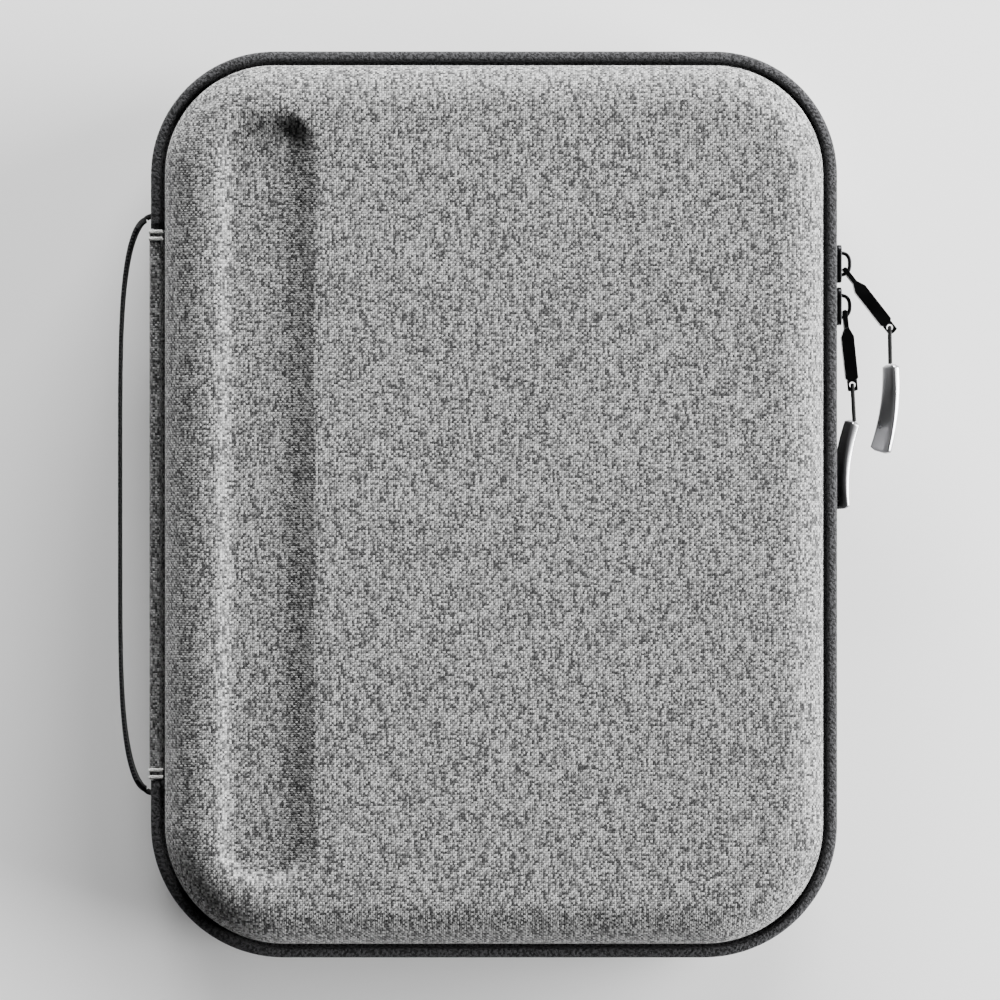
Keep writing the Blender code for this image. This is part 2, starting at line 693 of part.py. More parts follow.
def make_corner_strap(name, side_x, side_y):
    """An elastic band across one corner of the tablet's place, open underneath."""
    low = FLOOR_TOP + CORNER_STRAP_RISE
    high = FLOOR_TOP + GAP + TABLET_THICKNESS
    diagonal = Vector((side_x, -side_y)).normalized()
    across = Vector((side_x, side_y)).normalized()
    middle = Vector((side_x * TABLET_WIDTH / 2, side_y * TABLET_HEIGHT / 2)) - across * CORNER_STRAP_REACH / 2
    wall = STRAP_THICKNESS
    reach = CORNER_STRAP_REACH / 2 - CORNER_STRAP_TUCK - wall
    outline = [(-reach - wall, low), (-reach, low), (-reach, high), (reach, high), (reach, low),
               (reach + wall, low), (reach + wall, high + wall), (-reach - wall, high + wall)]
    rings = []
    for offset in (-STRAP_WIDTH / 2, STRAP_WIDTH / 2):
        base = middle + across * offset
        rings.append([(base.x + diagonal.x * s, base.y + diagonal.y * s, z) for s, z in outline])
    return loft(name, rings, ELASTIC)


def make_pocket():
    """A zipped mesh pocket on the inside of the front half."""
    x0, x1 = POCKET_LEFT_X, POCKET_RIGHT_X
    y0, y1 = POCKET_LOW_Y, POCKET_TOP_Y
    ceiling = TOTAL_DEPTH - FLOOR_TOP - GAP
    foot = ceiling - POCKET_DEPTH
    wall = POCKET_WALL
    frame = box("pocket_gusset", (x0, y0, foot), (x1, y1, ceiling), ELASTIC)
    inside = box(
        "cutter_pocket", (x0 + wall, y0 + wall, foot - wall), (x1 - wall, y1 - wall, ceiling + wall), ELASTIC
    )
    boolean(frame, inside, "DIFFERENCE")
    top = foot - GAP
    low = top - POCKET_THICKNESS
    coil_y = y1 - POCKET_HEM - POCKET_COIL_WIDTH - GAP
    box("pocket_mesh", (x0, y0, low), (x1, coil_y - GAP, top), MESH_BLACK)
    box("pocket_zip_coil", (x0, coil_y, low), (x1, coil_y + POCKET_COIL_WIDTH, top), COIL_BLACK)
    box("pocket_hem", (x0, y1 - POCKET_HEM, low), (x1, y1, top), ELASTIC)
    half = POCKET_SLIDER_LENGTH / 2
    x = POCKET_SLIDER_X
    y = coil_y + POCKET_COIL_WIDTH / 2
    plate = low - GAP - SLIDER_PLATE
    reach = POCKET_COIL_WIDTH / 2
    slider = box("pocket_slider", (x - half, y - reach, plate), (x + half, y + reach, low - GAP), BLACK_METAL)
    arch_low = plate - ARCH_HEIGHT
    arch = box(
        "cutter_pocket_arch",
        (x - ARCH_LENGTH / 2, y - ARCH_WIDTH / 2, arch_low),
        (x + ARCH_LENGTH / 2, y + ARCH_WIDTH / 2, plate + SLIDER_PLATE / 2),
        BLACK_METAL,
    )
    boolean(slider, arch, "UNION")
    window = ARCH_LENGTH / 2 - ARCH_WALL
    hole = box(
        "cutter_pocket_window", (x - window, y - reach, arch_low + ARCH_WALL), (x + window, y + reach, plate), BLACK_METAL
    )
    boolean(slider, hole, "DIFFERENCE")
    make_pocket_pull(x + window - LINK_PIN / 2 - GAP, y, plate - (ARCH_HEIGHT - ARCH_WALL) / 2)


def make_pocket_pull(x, y, z):
    """A flat tab with a pin through the pocket slider's arch, hanging straight down."""
    pin = LINK_PIN / 2
    wide = LINK_WIDTH / 2
    cheek = ARCH_WIDTH / 2 + GAP
    neck = z - LINK_NECK
    trim = GAP / 3
    tab = box(
        "pocket_pull",
        (x - pin, y - wide, z - POCKET_PULL_LENGTH),
        (x + pin, y + wide, neck + pin),
        BLACK_METAL,
        (x, y, z),
    )
    thin = pin - trim
    parts = {
        "cheek": ((x - thin, y + cheek, neck), (x + thin, y + wide - trim, z + thin)),
        "far_cheek": ((x - thin, y - wide + trim, neck), (x + thin, y - cheek, z + thin)),
        "pin": ((x - thin + trim, y - wide + GAP, z - thin + trim), (x + thin - trim, y + wide - GAP, z + thin - trim)),
    }
    for part, (start, end) in parts.items():
        boolean(tab, box("cutter_pocket_" + part, start, end, BLACK_METAL), "UNION")
    return tab


def make_pen_loop():
    """An elastic loop inside the cover, under the channel, that holds a stylus."""
    ceiling = TOTAL_DEPTH - FLOOR_TOP - CHANNEL_DEPTH - GAP
    wall = STRAP_THICKNESS
    half = PEN_LOOP_WIDTH / 2
    low = ceiling - PEN_LOOP_HEIGHT
    x = CHANNEL_CENTRE_X
    outline = [(x - half, ceiling), (x - half, low), (x + half, low), (x + half, ceiling),
               (x + half - wall, ceiling), (x + half - wall, low + wall),
               (x - half + wall, low + wall), (x - half + wall, ceiling)]
    rings = [[(px, y, pz) for px, pz in outline] for y in (-PEN_LOOP_LENGTH / 2, PEN_LOOP_LENGTH / 2)]
    return loft("pen_loop", rings, ELASTIC)


def main():
    clear_scene()
    make_half("back", False)
    make_half("front", True)
    make_spine()
    make_handle()
    make_zip_hardware()
    for place_y, side_y in (("upper", 1), ("lower", -1)):
        for place_x, side_x in (("left", -1), ("right", 1)):
            make_corner_strap("corner_strap_" + place_y + "_" + place_x, side_x, side_y)
    make_pocket()
    make_pen_loop()


main()
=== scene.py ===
"""Looks of a hard-shell zip case for a tablet: heather fabric shells, woven rim tape,
coil zip, spine, webbing handle, metal pulls and the fittings inside."""

import math

import bmesh
import bpy
import numpy as np
from bpy.props import FloatProperty, FloatVectorProperty, IntProperty, PointerProperty
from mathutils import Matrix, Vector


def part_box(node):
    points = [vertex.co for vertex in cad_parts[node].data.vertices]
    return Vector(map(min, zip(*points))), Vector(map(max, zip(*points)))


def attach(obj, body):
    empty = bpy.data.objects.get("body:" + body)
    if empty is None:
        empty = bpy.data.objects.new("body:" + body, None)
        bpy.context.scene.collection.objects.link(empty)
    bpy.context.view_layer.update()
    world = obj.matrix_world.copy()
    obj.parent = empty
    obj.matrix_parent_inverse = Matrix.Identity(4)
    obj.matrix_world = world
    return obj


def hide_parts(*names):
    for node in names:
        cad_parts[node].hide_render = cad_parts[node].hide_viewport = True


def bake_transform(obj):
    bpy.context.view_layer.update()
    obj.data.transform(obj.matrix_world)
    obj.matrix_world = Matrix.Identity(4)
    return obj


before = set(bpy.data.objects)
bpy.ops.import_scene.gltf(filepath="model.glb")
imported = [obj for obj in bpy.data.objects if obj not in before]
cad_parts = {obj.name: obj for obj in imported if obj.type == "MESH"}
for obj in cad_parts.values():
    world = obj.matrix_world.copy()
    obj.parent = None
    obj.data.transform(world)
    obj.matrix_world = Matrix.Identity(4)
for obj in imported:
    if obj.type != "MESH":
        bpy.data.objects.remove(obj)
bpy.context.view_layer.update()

bl_info = {
    "name": "Tablet Case Looks",
    "version": (1, 0, 0),
    "blender": (4, 5, 0),
    "location": "View3D > Sidebar > Tablet Case",
    "description": "Builds the fabric, tape, zip and metal of a hard-shell tablet case",
    "category": "Object",
}

# Places read from the frame
RIM_LOW, RIM_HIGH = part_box("back_rim_binding")
HEM_LOW, HEM_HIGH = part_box("back_spine_hem")
STRAP_LOW, STRAP_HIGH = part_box("handle_strap")
PANEL_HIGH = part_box("spine_panel")[1]
TAPE_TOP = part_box("back_zip_tape")[1].z
COIL_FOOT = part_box("back_zip_coil")[0].z
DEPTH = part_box("front_shell")[1].z
HALF_WIDTH = RIM_HIGH.x
HALF_HEIGHT = RIM_HIGH.y
MIDDLE = DEPTH / 2
RIM_TOP = RIM_HIGH.z
RIM_TAPE_HEIGHT = RIM_HIGH.z - RIM_LOW.z

# The shell's flange lies inside the tape, and its wall stands this far in from the outline
SHELL_INSET = 0.0043
LINING_DEPTH = 0.0035  # from the shell's outer face to the lining's
LINING_THICKNESS = 0.0011
TOP_RADIUS = 0.037
BOTTOM_RADIUS = 0.040
EDGE_WIDTH = 0.0130
EDGE_HEIGHT = 0.0105
CHANNEL_X, CHANNEL_Y = -0.0686, 0.0020
CHANNEL_RADIUS = 0.0115
CHANNEL_SLOPE = 0.0047
CHANNEL_LEAN = 0.0014

# The rim tape and the spine's hem sink beside the shell
CREASE_START = 0.0027
CREASE_SLOPE = 0.0008
CREASE_DEPTH = 0.0026
COIL_HALF = 0.0010  # half the zip coil's reach in from the rim
MESH = 0.0002  # how far the coils' turns pass the middle, to mesh

# The bartacks' two rows lie this far in from the hem's end
BARTACK_ROWS = (0.0007, 0.0028)
BARTACK_SWING = 0.00042
THREAD = 0.00026
HANDLE_STANDOFF = 0.0014
HANDLE_END_WIDTH = 0.0036
SPINE_CORNER = 0.0013

SLIDER_OUTER_X = 0.1047
LOOP_REACH = 0.0033
LOOP_HALF_THICKNESS = 0.00058
LOOP_HALF_WIDTH = 0.00145
POST_INSET = 0.0017  # from the slider's nose to its post's middle
# Where each grip's top, knee and foot lie across its own box
GRIP_LEAN = {"upper": (0.68, 0.80, 0.25), "lower": (0.66, 0.06, 0.22)}
# Degrees of turn at top and foot, then thickness at top and foot
GRIP_SECTION = {"upper": ((28, 47), (0.0026, 0.0020)), "lower": ((20, 32), (0.0030, 0.0014))}

ELASTIC = 0.0010
ELASTIC_WIDTH = 0.0080
GUSSET_RADIUS = 0.006
GUSSET_HALF_WALL = 0.0010
GATHER_PITCH = 0.0031
POCKET_WIRE = 0.00032
POCKET_PITCH = 0.0014
GAP = 0.0003
WELD = 0.00002
BEVEL_ANGLE = math.radians(28)

# Points along each corner's arc, each long side and each end of an outline
CORNER_POINTS, SIDE_POINTS, END_POINTS = 26, 44, 34
FINE = 2  # the front's sides and ends take this many times as many, for its channel
RIM_CORNER_POINTS = 30
RIM_SPACING = 0.0022
TAU = 2 * math.pi

# Colours and finishes that more than one operator uses
BLACK_METAL = {"colour": (0.018, 0.018, 0.019), "roughness": 0.34}
NYLON = {"colour": (0.02, 0.02, 0.021), "roughness": 0.38, "metallic": 0.0}
SPINE_SHADE = 0.72
ZIP_TAPE_SHADE = 0.6

# The stage
FLOOR_DROP = 0.0004
FLOOR_HALF = 4
FLOOR_GREY = 0.94
AMBIENT = 0.07
SENSOR = 36
CAMERA_PLACE = (0.0018, 0.00135, 2.2)
VIEW_WIDTH = 0.30055  # the width in view at the rim's height


class FabricSizes(bpy.types.PropertyGroup):
    yarn: FloatProperty(
        name="Yarn pitch", description="Spacing of the heather fabric's yarns",
        default=0.00068, min=0.0002, unit="LENGTH",
    )
    light: FloatVectorProperty(
        name="Light yarn", description="Colour of the pale yarns",
        default=(0.44, 0.44, 0.436), subtype="COLOR", min=0, max=1,
    )
    dark: FloatVectorProperty(
        name="Dark yarn", description="Colour of the dark yarns",
        default=(0.020, 0.020, 0.0205), subtype="COLOR", min=0, max=1,
    )
    tape: FloatVectorProperty(
        name="Rim tape", description="Colour of the charcoal rim tape",
        default=(0.024, 0.024, 0.0252), subtype="COLOR", min=0, max=1,
    )


class ShellSizes(bpy.types.PropertyGroup):
    channel_depth: FloatProperty(
        name="Channel depth", description="Depth of the long channel in the front",
        default=0.0031, min=0, unit="LENGTH",
    )
    channel_width: FloatProperty(
        name="Channel width", description="Width of the channel at the face",
        default=0.0295, min=0.01, unit="LENGTH",
    )
    channel_height: FloatProperty(
        name="Channel length", description="Length of the channel at the face",
        default=0.2320, min=0.05, unit="LENGTH",
    )
    skin: FloatProperty(
        name="Skin thickness", description="Thickness of the fabric skin",
        default=0.0031, min=0.0002, unit="LENGTH",
    )


class ZipSizes(bpy.types.PropertyGroup):
    pitch: FloatProperty(
        name="Coil pitch", description="Spacing of the zip coil's turns",
        default=0.0017, min=0.0008, unit="LENGTH",
    )
    wire: FloatProperty(
        name="Coil wire", description="Radius of the zip coil's wire",
        default=0.00042, min=0.0001, unit="LENGTH",
    )
    stitches: IntProperty(
        name="Bartack stitches", description="Zigzag stitches in each bartack line",
        default=9, min=3,
    )


# Mesh helpers

def link(obj):
    bpy.context.scene.collection.objects.link(obj)
    return obj


def surface(name, points, uv, wrap_rows=False, wrap_cols=False, close="all"):
    """A smooth quad mesh over a grid of points, rows by columns. uv has one more row or column
    where that direction wraps. close fills "all" open borders, only the "last" row's or "none"."""
    rows, cols = points.shape[:2]
    r, c = np.meshgrid(
        np.arange(rows if wrap_rows else rows - 1),
        np.arange(cols if wrap_cols else cols - 1),
        indexing="ij",
    )
    r2, c2 = (r + 1) % rows, (c + 1) % cols
    quads = np.stack([r * cols + c, r * cols + c2, r2 * cols + c2, r2 * cols + c], -1)
    corners = np.stack([uv[r, c], uv[r, c + 1], uv[r + 1, c + 1], uv[r + 1, c]], 2)
    mesh = bpy.data.meshes.new(name)
    mesh.from_pydata(points.reshape(-1, 3), [], quads.reshape(-1, 4))
    layer = mesh.uv_layers.new(name="Cloth")
    layer.data.foreach_set("uv", corners.reshape(-1).astype(np.float32))
    mesh.polygons.foreach_set("use_smooth", np.ones(len(mesh.polygons), bool))
    work = bmesh.new()
    work.from_mesh(mesh)
    first = {"all": 0, "last": (rows - 1) * cols, "none": rows * cols}[close]
    border = [edge for edge in work.edges
              if edge.is_boundary and min(vert.index for vert in edge.verts) >= first]
    if border:
        bmesh.ops.holes_fill(work, edges=border)
    bmesh.ops.recalc_face_normals(work, faces=work.faces)
    work.to_mesh(mesh)
    work.free()
    return link(bpy.data.objects.new(name, mesh))


def unit(vectors):
    """The same directions at length 1."""
    return vectors / np.linalg.norm(vectors, axis=-1, keepdims=True)


def uv_grid(down, across):
    """The UV places of a grid, down its rows and across its columns."""
    return np.stack(np.broadcast_arrays(down[:, None], across[None]), -1)


def rings(line, first, second, radius, sides):
    """A circle about each point of line: radius * (cos t * first + sin t * second)."""
    t = np.linspace(0, TAU, sides, endpoint=False)[None, :, None]
    return line[:, None] + radius * (np.cos(t) * first[:, None] + np.sin(t) * second[:, None])


def end_name(side):
    return "upper" if side > 0 else "lower"


def cumulative(points):
    """Running length along the rows of points, starting at 0."""
    steps = np.linalg.norm(np.diff(points, axis=0), axis=1)
    return np.concatenate([[0], np.cumsum(steps)])


def merge(name, objects):
    """One mesh object from several, keeping their UVs and materials."""
    with bpy.context.temp_override(
        active_object=objects[0], object=objects[0], selected_objects=objects,
        selected_editable_objects=objects,
    ):
        bpy.ops.object.join()
    objects[0].name = name
    return objects[0]


def solidify(obj, thickness):
    """Thickens an open skin inwards from its faces."""
    modifier = obj.modifiers.new("wall", "SOLIDIFY")
    modifier.thickness = thickness
    modifier.offset = -1
    return modifier


def bevelled(obj, width, segments=2):
    """Rounds a CAD node's edges: its loose triangles are welded first."""
    weld = obj.modifiers.new("weld", "WELD")
    weld.merge_threshold = WELD
    bevel = obj.modifiers.new("round", "BEVEL")
    bevel.width = width
    bevel.segments = segments
    bevel.limit_method = "ANGLE"
    bevel.angle_limit = BEVEL_ANGLE
    return obj


def paint(obj, material):
    obj.data.materials.clear()
    obj.data.materials.append(material)


def fit(obj, material, body, slot, *nodes):
    """Paints a piece, rides it on its body and lets it stand for its CAD nodes."""
    paint(obj, material)
    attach(obj, body)
    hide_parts(*nodes)


# Outlines

def outline(inset, corner_points=CORNER_POINTS, fine=1):
    """The case's rounded outline drawn in by inset, clockwise from the left side's upper end,
    with its outward normals. Each corner is an arc; points on arcs and sides keep their share."""
    side_points, end_points = fine * SIDE_POINTS, fine * END_POINTS
    x, y = HALF_WIDTH - inset, HALF_HEIGHT - inset
    quarter = np.linspace(0, math.pi / 2, corner_points)
    points, normals = [], []
    corners = (
        (-1, 1, TOP_RADIUS, math.pi, end_points),
        (1, 1, TOP_RADIUS, math.pi / 2, side_points),
        (1, -1, BOTTOM_RADIUS, 0.0, end_points),
        (-1, -1, BOTTOM_RADIUS, -math.pi / 2, side_points),
    )
    for sx, sy, radius, start, _ in corners:
        r = max(radius - inset, 0.0004)
        turn = start - quarter
        n = np.stack([np.cos(turn), np.sin(turn)], 1)
        points.append(np.array([sx * (x - r), sy * (y - r)]) + r * n)
        normals.append(n)
    full_p, full_n = [], []
    for i, (_, _, _, _, count) in enumerate(corners):
        here, there = points[i], points[(i + 1) % 4]
        share = np.linspace(0, 1, count + 2)[1:-1, None]
        full_p += [here, here[-1] + (there[0] - here[-1]) * share]
        full_n += [normals[i], np.repeat(normals[i][-1:], count, 0)]
    return np.concatenate(full_p), np.concatenate(full_n)


def rim_path(end_y, spacing=RIM_SPACING):
    """The outline as an open path from the spine's upper end round to its lower end, as
    (points, outward normals, running length)."""
    path, normal = (part[:-SIDE_POINTS] for part in outline(0.0, RIM_CORNER_POINTS))
    left = np.array([[-1.0, 0.0]])
    path = np.concatenate([[[-HALF_WIDTH, end_y]], path, [[-HALF_WIDTH, -end_y]]])
    normal = np.concatenate([left, normal, left])
    length = cumulative(path)
    s = np.linspace(0, length[-1], int(length[-1] / spacing))
    at = np.stack([np.interp(s, length, path[:, i]) for i in (0, 1)], 1)
    out = np.stack([np.interp(s, length, normal[:, i]) for i in (0, 1)], 1)
    return at, unit(out), s


def rim_sweep(name, section, end_y, upper):
    """A closed section carried along the rim. section is (outward, height) pairs, measured out
    from the rim's own outline, so each point is path + normal * outward, at its height."""
    at, out, s = rim_path(end_y)
    around = cumulative(np.concatenate([section, section[:1]]))
    points = np.empty((len(at), len(section), 3))
    points[..., :2] = at[:, None] + out[:, None] * section[None, :, :1]
    points[..., 2] = section[:, 1]
    if upper:
        points[..., 2] = DEPTH - points[..., 2]
    return surface(name, points, uv_grid(s, around), wrap_cols=True)


def flat_sweep(name, line, half_thickness, half_width, height, twist=0.0, power=4.0, count=24):
    """A bar along a line in the plane z = height. Its section is a superellipse, half_thickness
    in the plane and half_width upright, turned about the line by twist."""
    along = unit(np.gradient(line, axis=0))
    across = np.stack([along[:, 1], -along[:, 0]], 1)
    section = rounded_section(-1.0, 1.0, -1.0, 1.0, power, count)
    thick, wide, turn = (np.broadcast_to(value, len(line))[:, None] for value in
                         (half_thickness, half_width, twist))
    level, upright = thick * section[None, :, 0], wide * section[None, :, 1]
    points = np.empty((len(line), count, 3))
    sideways = level * np.cos(turn) - upright * np.sin(turn)
    points[..., :2] = line[:, None] + across[:, None] * sideways[..., None]
    points[..., 2] = height + level * np.sin(turn) + upright * np.cos(turn)
    girth = np.concatenate([upright, upright[:, :1]], 1)
    uv = np.stack([np.broadcast_to(cumulative(line)[:, None], girth.shape), girth], -1)
    return surface(name, points, uv, wrap_cols=True)


def rounded_section(x0, x1, z0, z1, power=3.2, count=28):
    """A superellipse between the four limits: |x|^p + |z|^p = 1."""
    t = np.linspace(0, TAU, count, endpoint=False)
    cx, cz = np.cos(t), np.sin(t)
    x = np.sign(cx) * np.abs(cx) ** (2 / power)
    z = np.sign(cz) * np.abs(cz) ** (2 / power)
    return np.stack([
        (x0 + x1) / 2 + (x1 - x0) / 2 * x,
        (z0 + z1) / 2 + (z1 - z0) / 2 * z,
    ], 1)


def channel_drop(x, y, sizes):
    """How far the channel lies below the face at (x, y): its depth times a smooth step of the
    distance in from a rounded rectangle's edge, gentler on the spine's side."""
    half_w, half_h = sizes.channel_width / 2, sizes.channel_height / 2
    qx = np.abs(x - CHANNEL_X) - (half_w - CHANNEL_RADIUS)
    qy = np.abs(y - CHANNEL_Y) - (half_h - CHANNEL_RADIUS)
    outside = np.hypot(np.maximum(qx, 0), np.maximum(qy, 0))
    inside = CHANNEL_RADIUS - outside - np.minimum(np.maximum(qx, qy), 0)
    lean = np.clip((x - CHANNEL_X) / half_w, -1, 1)
    slope = CHANNEL_SLOPE - CHANNEL_LEAN * lean
    share = np.clip(inside / slope, 0, 1)
    return sizes.channel_depth * share * share * (3 - 2 * share)


def skin_grid(inset, under, rim, step, sizes, upper, fine=1):
    """A moulded half as rings of the outline. The first rings climb the wall, the next follow a
    quarter ellipse over the edge, the rest cross the flat face, less the channel's drop."""
    turn = np.linspace(math.pi / 2, 0, 15)
    width, height = EDGE_WIDTH - under, EDGE_HEIGHT - under
    edge_inset = inset + width * (1 - np.sin(turn))
    edge_z = under + height * (1 - np.cos(turn))
    wall_z = np.linspace(rim, edge_z[0], 4)[:-1]
    face = np.concatenate([
        np.arange(edge_inset[-1] + step, 0.050, step),
        np.linspace(0.052, HALF_WIDTH - 0.0005, 14),
    ])
    insets = np.concatenate([np.full(3, inset), edge_inset, face])
    heights = np.concatenate([wall_z, edge_z, np.full(len(face), under)])
    profile = np.stack([insets, heights], 1)
    run = cumulative(profile)
    flat_from = run[len(wall_z) + len(turn) - 1]
    plan = np.stack([outline(value, fine=fine)[0] for value in insets])
    points = np.empty((*plan.shape[:2], 3))
    points[..., :2] = plan
    points[..., 2] = heights[:, None]
    base, normal = outline(edge_inset[-1], fine=fine)
    beyond = np.maximum(flat_from - run, 0)
    uv = base[None] + normal[None] * beyond[:, None, None]
    uv = np.where((run > flat_from)[:, None, None], points[..., :2], uv)
    uv = np.concatenate([uv, uv[:, :1]], 1)
    if upper:
        points[..., 2] = DEPTH - points[..., 2] - channel_drop(*plan.transpose(2, 0, 1), sizes)
    return points, uv


# Shader helpers

def feed(tree, socket, value):
    """Gives a socket a number or a colour, or links another socket to it."""
    if isinstance(value, bpy.types.NodeSocket):
        tree.links.new(value, socket)
    elif isinstance(value, tuple):
        socket.default_value = (*value, 1.0)[:4]
    else:
        socket.default_value = value


def math_node(tree, operation, first, second=None):
    node = tree.nodes.new("ShaderNodeMath")
    node.operation = operation
    feed(tree, node.inputs[0], first)
    if second is not None:
        feed(tree, node.inputs[1], second)
    return node.outputs[0]


def weighted(tree, *terms):
    """The sum of each (share, value) pair's product."""
    total = None
    for share, value in terms:
        part = math_node(tree, "MULTIPLY", value, share)
        total = part if total is None else math_node(tree, "ADD", total, part)
    return total


def wave(tree, value, pitch):
    """sin(2 pi value / pitch), where pitch is a number or a socket."""
    turns = math_node(tree, "DIVIDE", value, pitch)
    return math_node(tree, "SINE", math_node(tree, "MULTIPLY", turns, TAU))


def vector_of(tree, x, y):
    node = tree.nodes.new("ShaderNodeCombineXYZ")
    feed(tree, node.inputs[0], x)
    feed(tree, node.inputs[1], y)
    return node.outputs[0]


def split(tree, vector):
    """The X and Y of a vector."""
    node = tree.nodes.new("ShaderNodeSeparateXYZ")
    tree.links.new(vector, node.inputs[0])
    return node.outputs[0], node.outputs[1]


def noise(tree, vector, scale, detail=2.0, roughness=0.5, dimensions="2D"):
    node = tree.nodes.new("ShaderNodeTexNoise")
    node.noise_dimensions = dimensions
    tree.links.new(vector, node.inputs["Vector"])
    feed(tree, node.inputs["Scale"], scale)
    node.inputs["Detail"].default_value = detail
    node.inputs["Roughness"].default_value = roughness
    return node.outputs["Fac"]


def mix_colour(tree, factor, first, second):
    node = tree.nodes.new("ShaderNodeMix")
    node.data_type = "RGBA"
    feed(tree, node.inputs[0], factor)
    feed(tree, node.inputs[6], first)
    feed(tree, node.inputs[7], second)
    return node.outputs[2]


def mix_value(tree, factor, first, second):
    node = tree.nodes.new("ShaderNodeMix")
    feed(tree, node.inputs[0], factor)
    feed(tree, node.inputs[2], first)
    feed(tree, node.inputs[3], second)
    return node.outputs[0]


def contrast(tree, value, low, high):
    node = tree.nodes.new("ShaderNodeMapRange")
    node.interpolation_type = "SMOOTHSTEP"
    tree.links.new(value, node.inputs["Value"])
    node.inputs["From Min"].default_value = low
    node.inputs["From Max"].default_value = high
    return node.outputs["Result"]


def plain_weave(group, given):
    """Plain weave of slubby yarns. Yarn grid cell (i, j) shows its upright yarn where i + j is
    even, else its level one. A yarn's tone is noise drawn out along it, plus upright streaks
    and single specks. Its round profile |sin| darkens the tone towards the gaps between yarns:
    that is painted shade, where the yarns shade each other."""
    scale = group.nodes.new("ShaderNodeVectorMath")
    scale.operation = "SCALE"
    group.links.new(given["Vector"], scale.inputs[0])
    group.links.new(math_node(group, "DIVIDE", 1.0, given["Pitch"]), scale.inputs["Scale"])
    wobble = group.nodes.new("ShaderNodeTexNoise")
    wobble.noise_dimensions = "2D"
    wobble.inputs["Scale"].default_value = 0.35
    group.links.new(scale.outputs[0], wobble.inputs["Vector"])
    shift = group.nodes.new("ShaderNodeVectorMath")
    shift.operation = "MULTIPLY_ADD"
    group.links.new(wobble.outputs["Color"], shift.inputs[0])
    shift.inputs[1].default_value = (0.7, 0.7, 0.0)
    group.links.new(scale.outputs[0], shift.inputs[2])
    x, y = split(group, shift.outputs[0])
    column, row = math_node(group, "FLOOR", x), math_node(group, "FLOOR", y)
    parity = math_node(group, "PINGPONG", math_node(group, "ADD", column, row), 1.0)

    def drawn_out(across, across_scale, along, along_scale, detail, roughness):
        place = [math_node(group, "MULTIPLY", across, across_scale),
                 math_node(group, "MULTIPLY", along, along_scale)]
        return noise(group, vector_of(group, *place), 1.0, detail, roughness)

    upright = drawn_out(column, 7.31, y, 0.15, 3.0, 0.7)
    level = drawn_out(x, 0.30, row, 5.17, 3.0, 0.7)
    streak = drawn_out(x, 0.8, y, 0.06, 2.0, 0.6)
    yarn = mix_value(group, parity, contrast(group, upright, 0.36, 0.64),
                     contrast(group, level, 0.33, 0.67))
    speck = group.nodes.new("ShaderNodeTexWhiteNoise")
    speck.noise_dimensions = "2D"
    group.links.new(vector_of(group, column, row), speck.inputs["Vector"])
    tone = weighted(group, (0.40, yarn), (0.12, contrast(group, streak, 0.3, 0.7)),
                    (0.48, speck.outputs["Value"]))
    tone = contrast(group, tone, 0.20, 0.96)
    profile = mix_value(group, parity, *(
        math_node(group, "ABSOLUTE", wave(group, value, 2.0)) for value in (x, y)))
    height = math_node(group, "POWER", profile, 0.6)
    # Painted shade: the tone falls to 0.45 times in the gaps between yarns, where the yarns shade
    # each other
    painted_gap_shade = math_node(group, "ADD", math_node(group, "MULTIPLY", height, 0.55), 0.45)
    return {"Tone": math_node(group, "MULTIPLY", tone, painted_gap_shade), "Height": height}


def herringbone(group, given):
    """Herringbone tape: the ribs are sin(2 pi (u + |v|) / pitch), with thread noise."""
    u, v = split(group, given["Vector"])
    along = math_node(group, "ADD", u, math_node(group, "PINGPONG", v, 0.0021))
    rib = math_node(group, "MULTIPLY", wave(group, along, given["Pitch"]), 0.5)
    fibre = noise(group, given["Vector"], 950.0, 2.0, 0.65)
    return {"Rib": math_node(group, "ADD", rib, 0.5), "Fibre": fibre}


def nap(group, given):
    """Napped cloth: fine noise, and a tone that adds noise forty times as broad."""
    fine = noise(group, given["Vector"], given["Scale"], 4.0, 0.6, "3D")
    scale = math_node(group, "DIVIDE", given["Scale"], 40.0)
    broad = noise(group, given["Vector"], scale, 2.0, 0.5, "3D")
    tone = weighted(group, (0.7, fine), (0.3, broad))
    return {"Tone": contrast(group, tone, 0.3, 0.7), "Height": fine}


def cross_ribs(group, given):
    """Ribs across a band: half of 1 + sin(2 pi u / pitch) sin(2 pi v / pitch)."""
    waves = [wave(group, value, given["Pitch"]) for value in split(group, given["Vector"])]
    rib = math_node(group, "MULTIPLY", math_node(group, "MULTIPLY", *waves), 0.5)
    return {"Rib": math_node(group, "ADD", rib, 0.5)}


def grain(group, given):
    """A metal's fine grain and its broad smudges, each a noise of its own scale."""
    return {
        "Grain": noise(group, given["Vector"], given["Fine"], 3.0, 0.6, "3D"),
        "Smudge": noise(group, given["Vector"], given["Broad"], 2.0, 0.5, "3D"),
    }


# Each shared effect's builder, its inputs besides Vector, and its outputs
EFFECTS = {
    "Plain weave": (plain_weave, {"Pitch": 0.0008}, ("Tone", "Height")),
    "Herringbone twill": (herringbone, {"Pitch": 0.0016}, ("Rib", "Fibre")),
    "Nap": (nap, {"Scale": 900.0}, ("Tone", "Height")),
    "Cross ribs": (cross_ribs, {"Pitch": 0.0011}, ("Rib",)),
    "Metal grain": (grain, {"Fine": 2200.0, "Broad": 180.0}, ("Grain", "Smudge")),
}


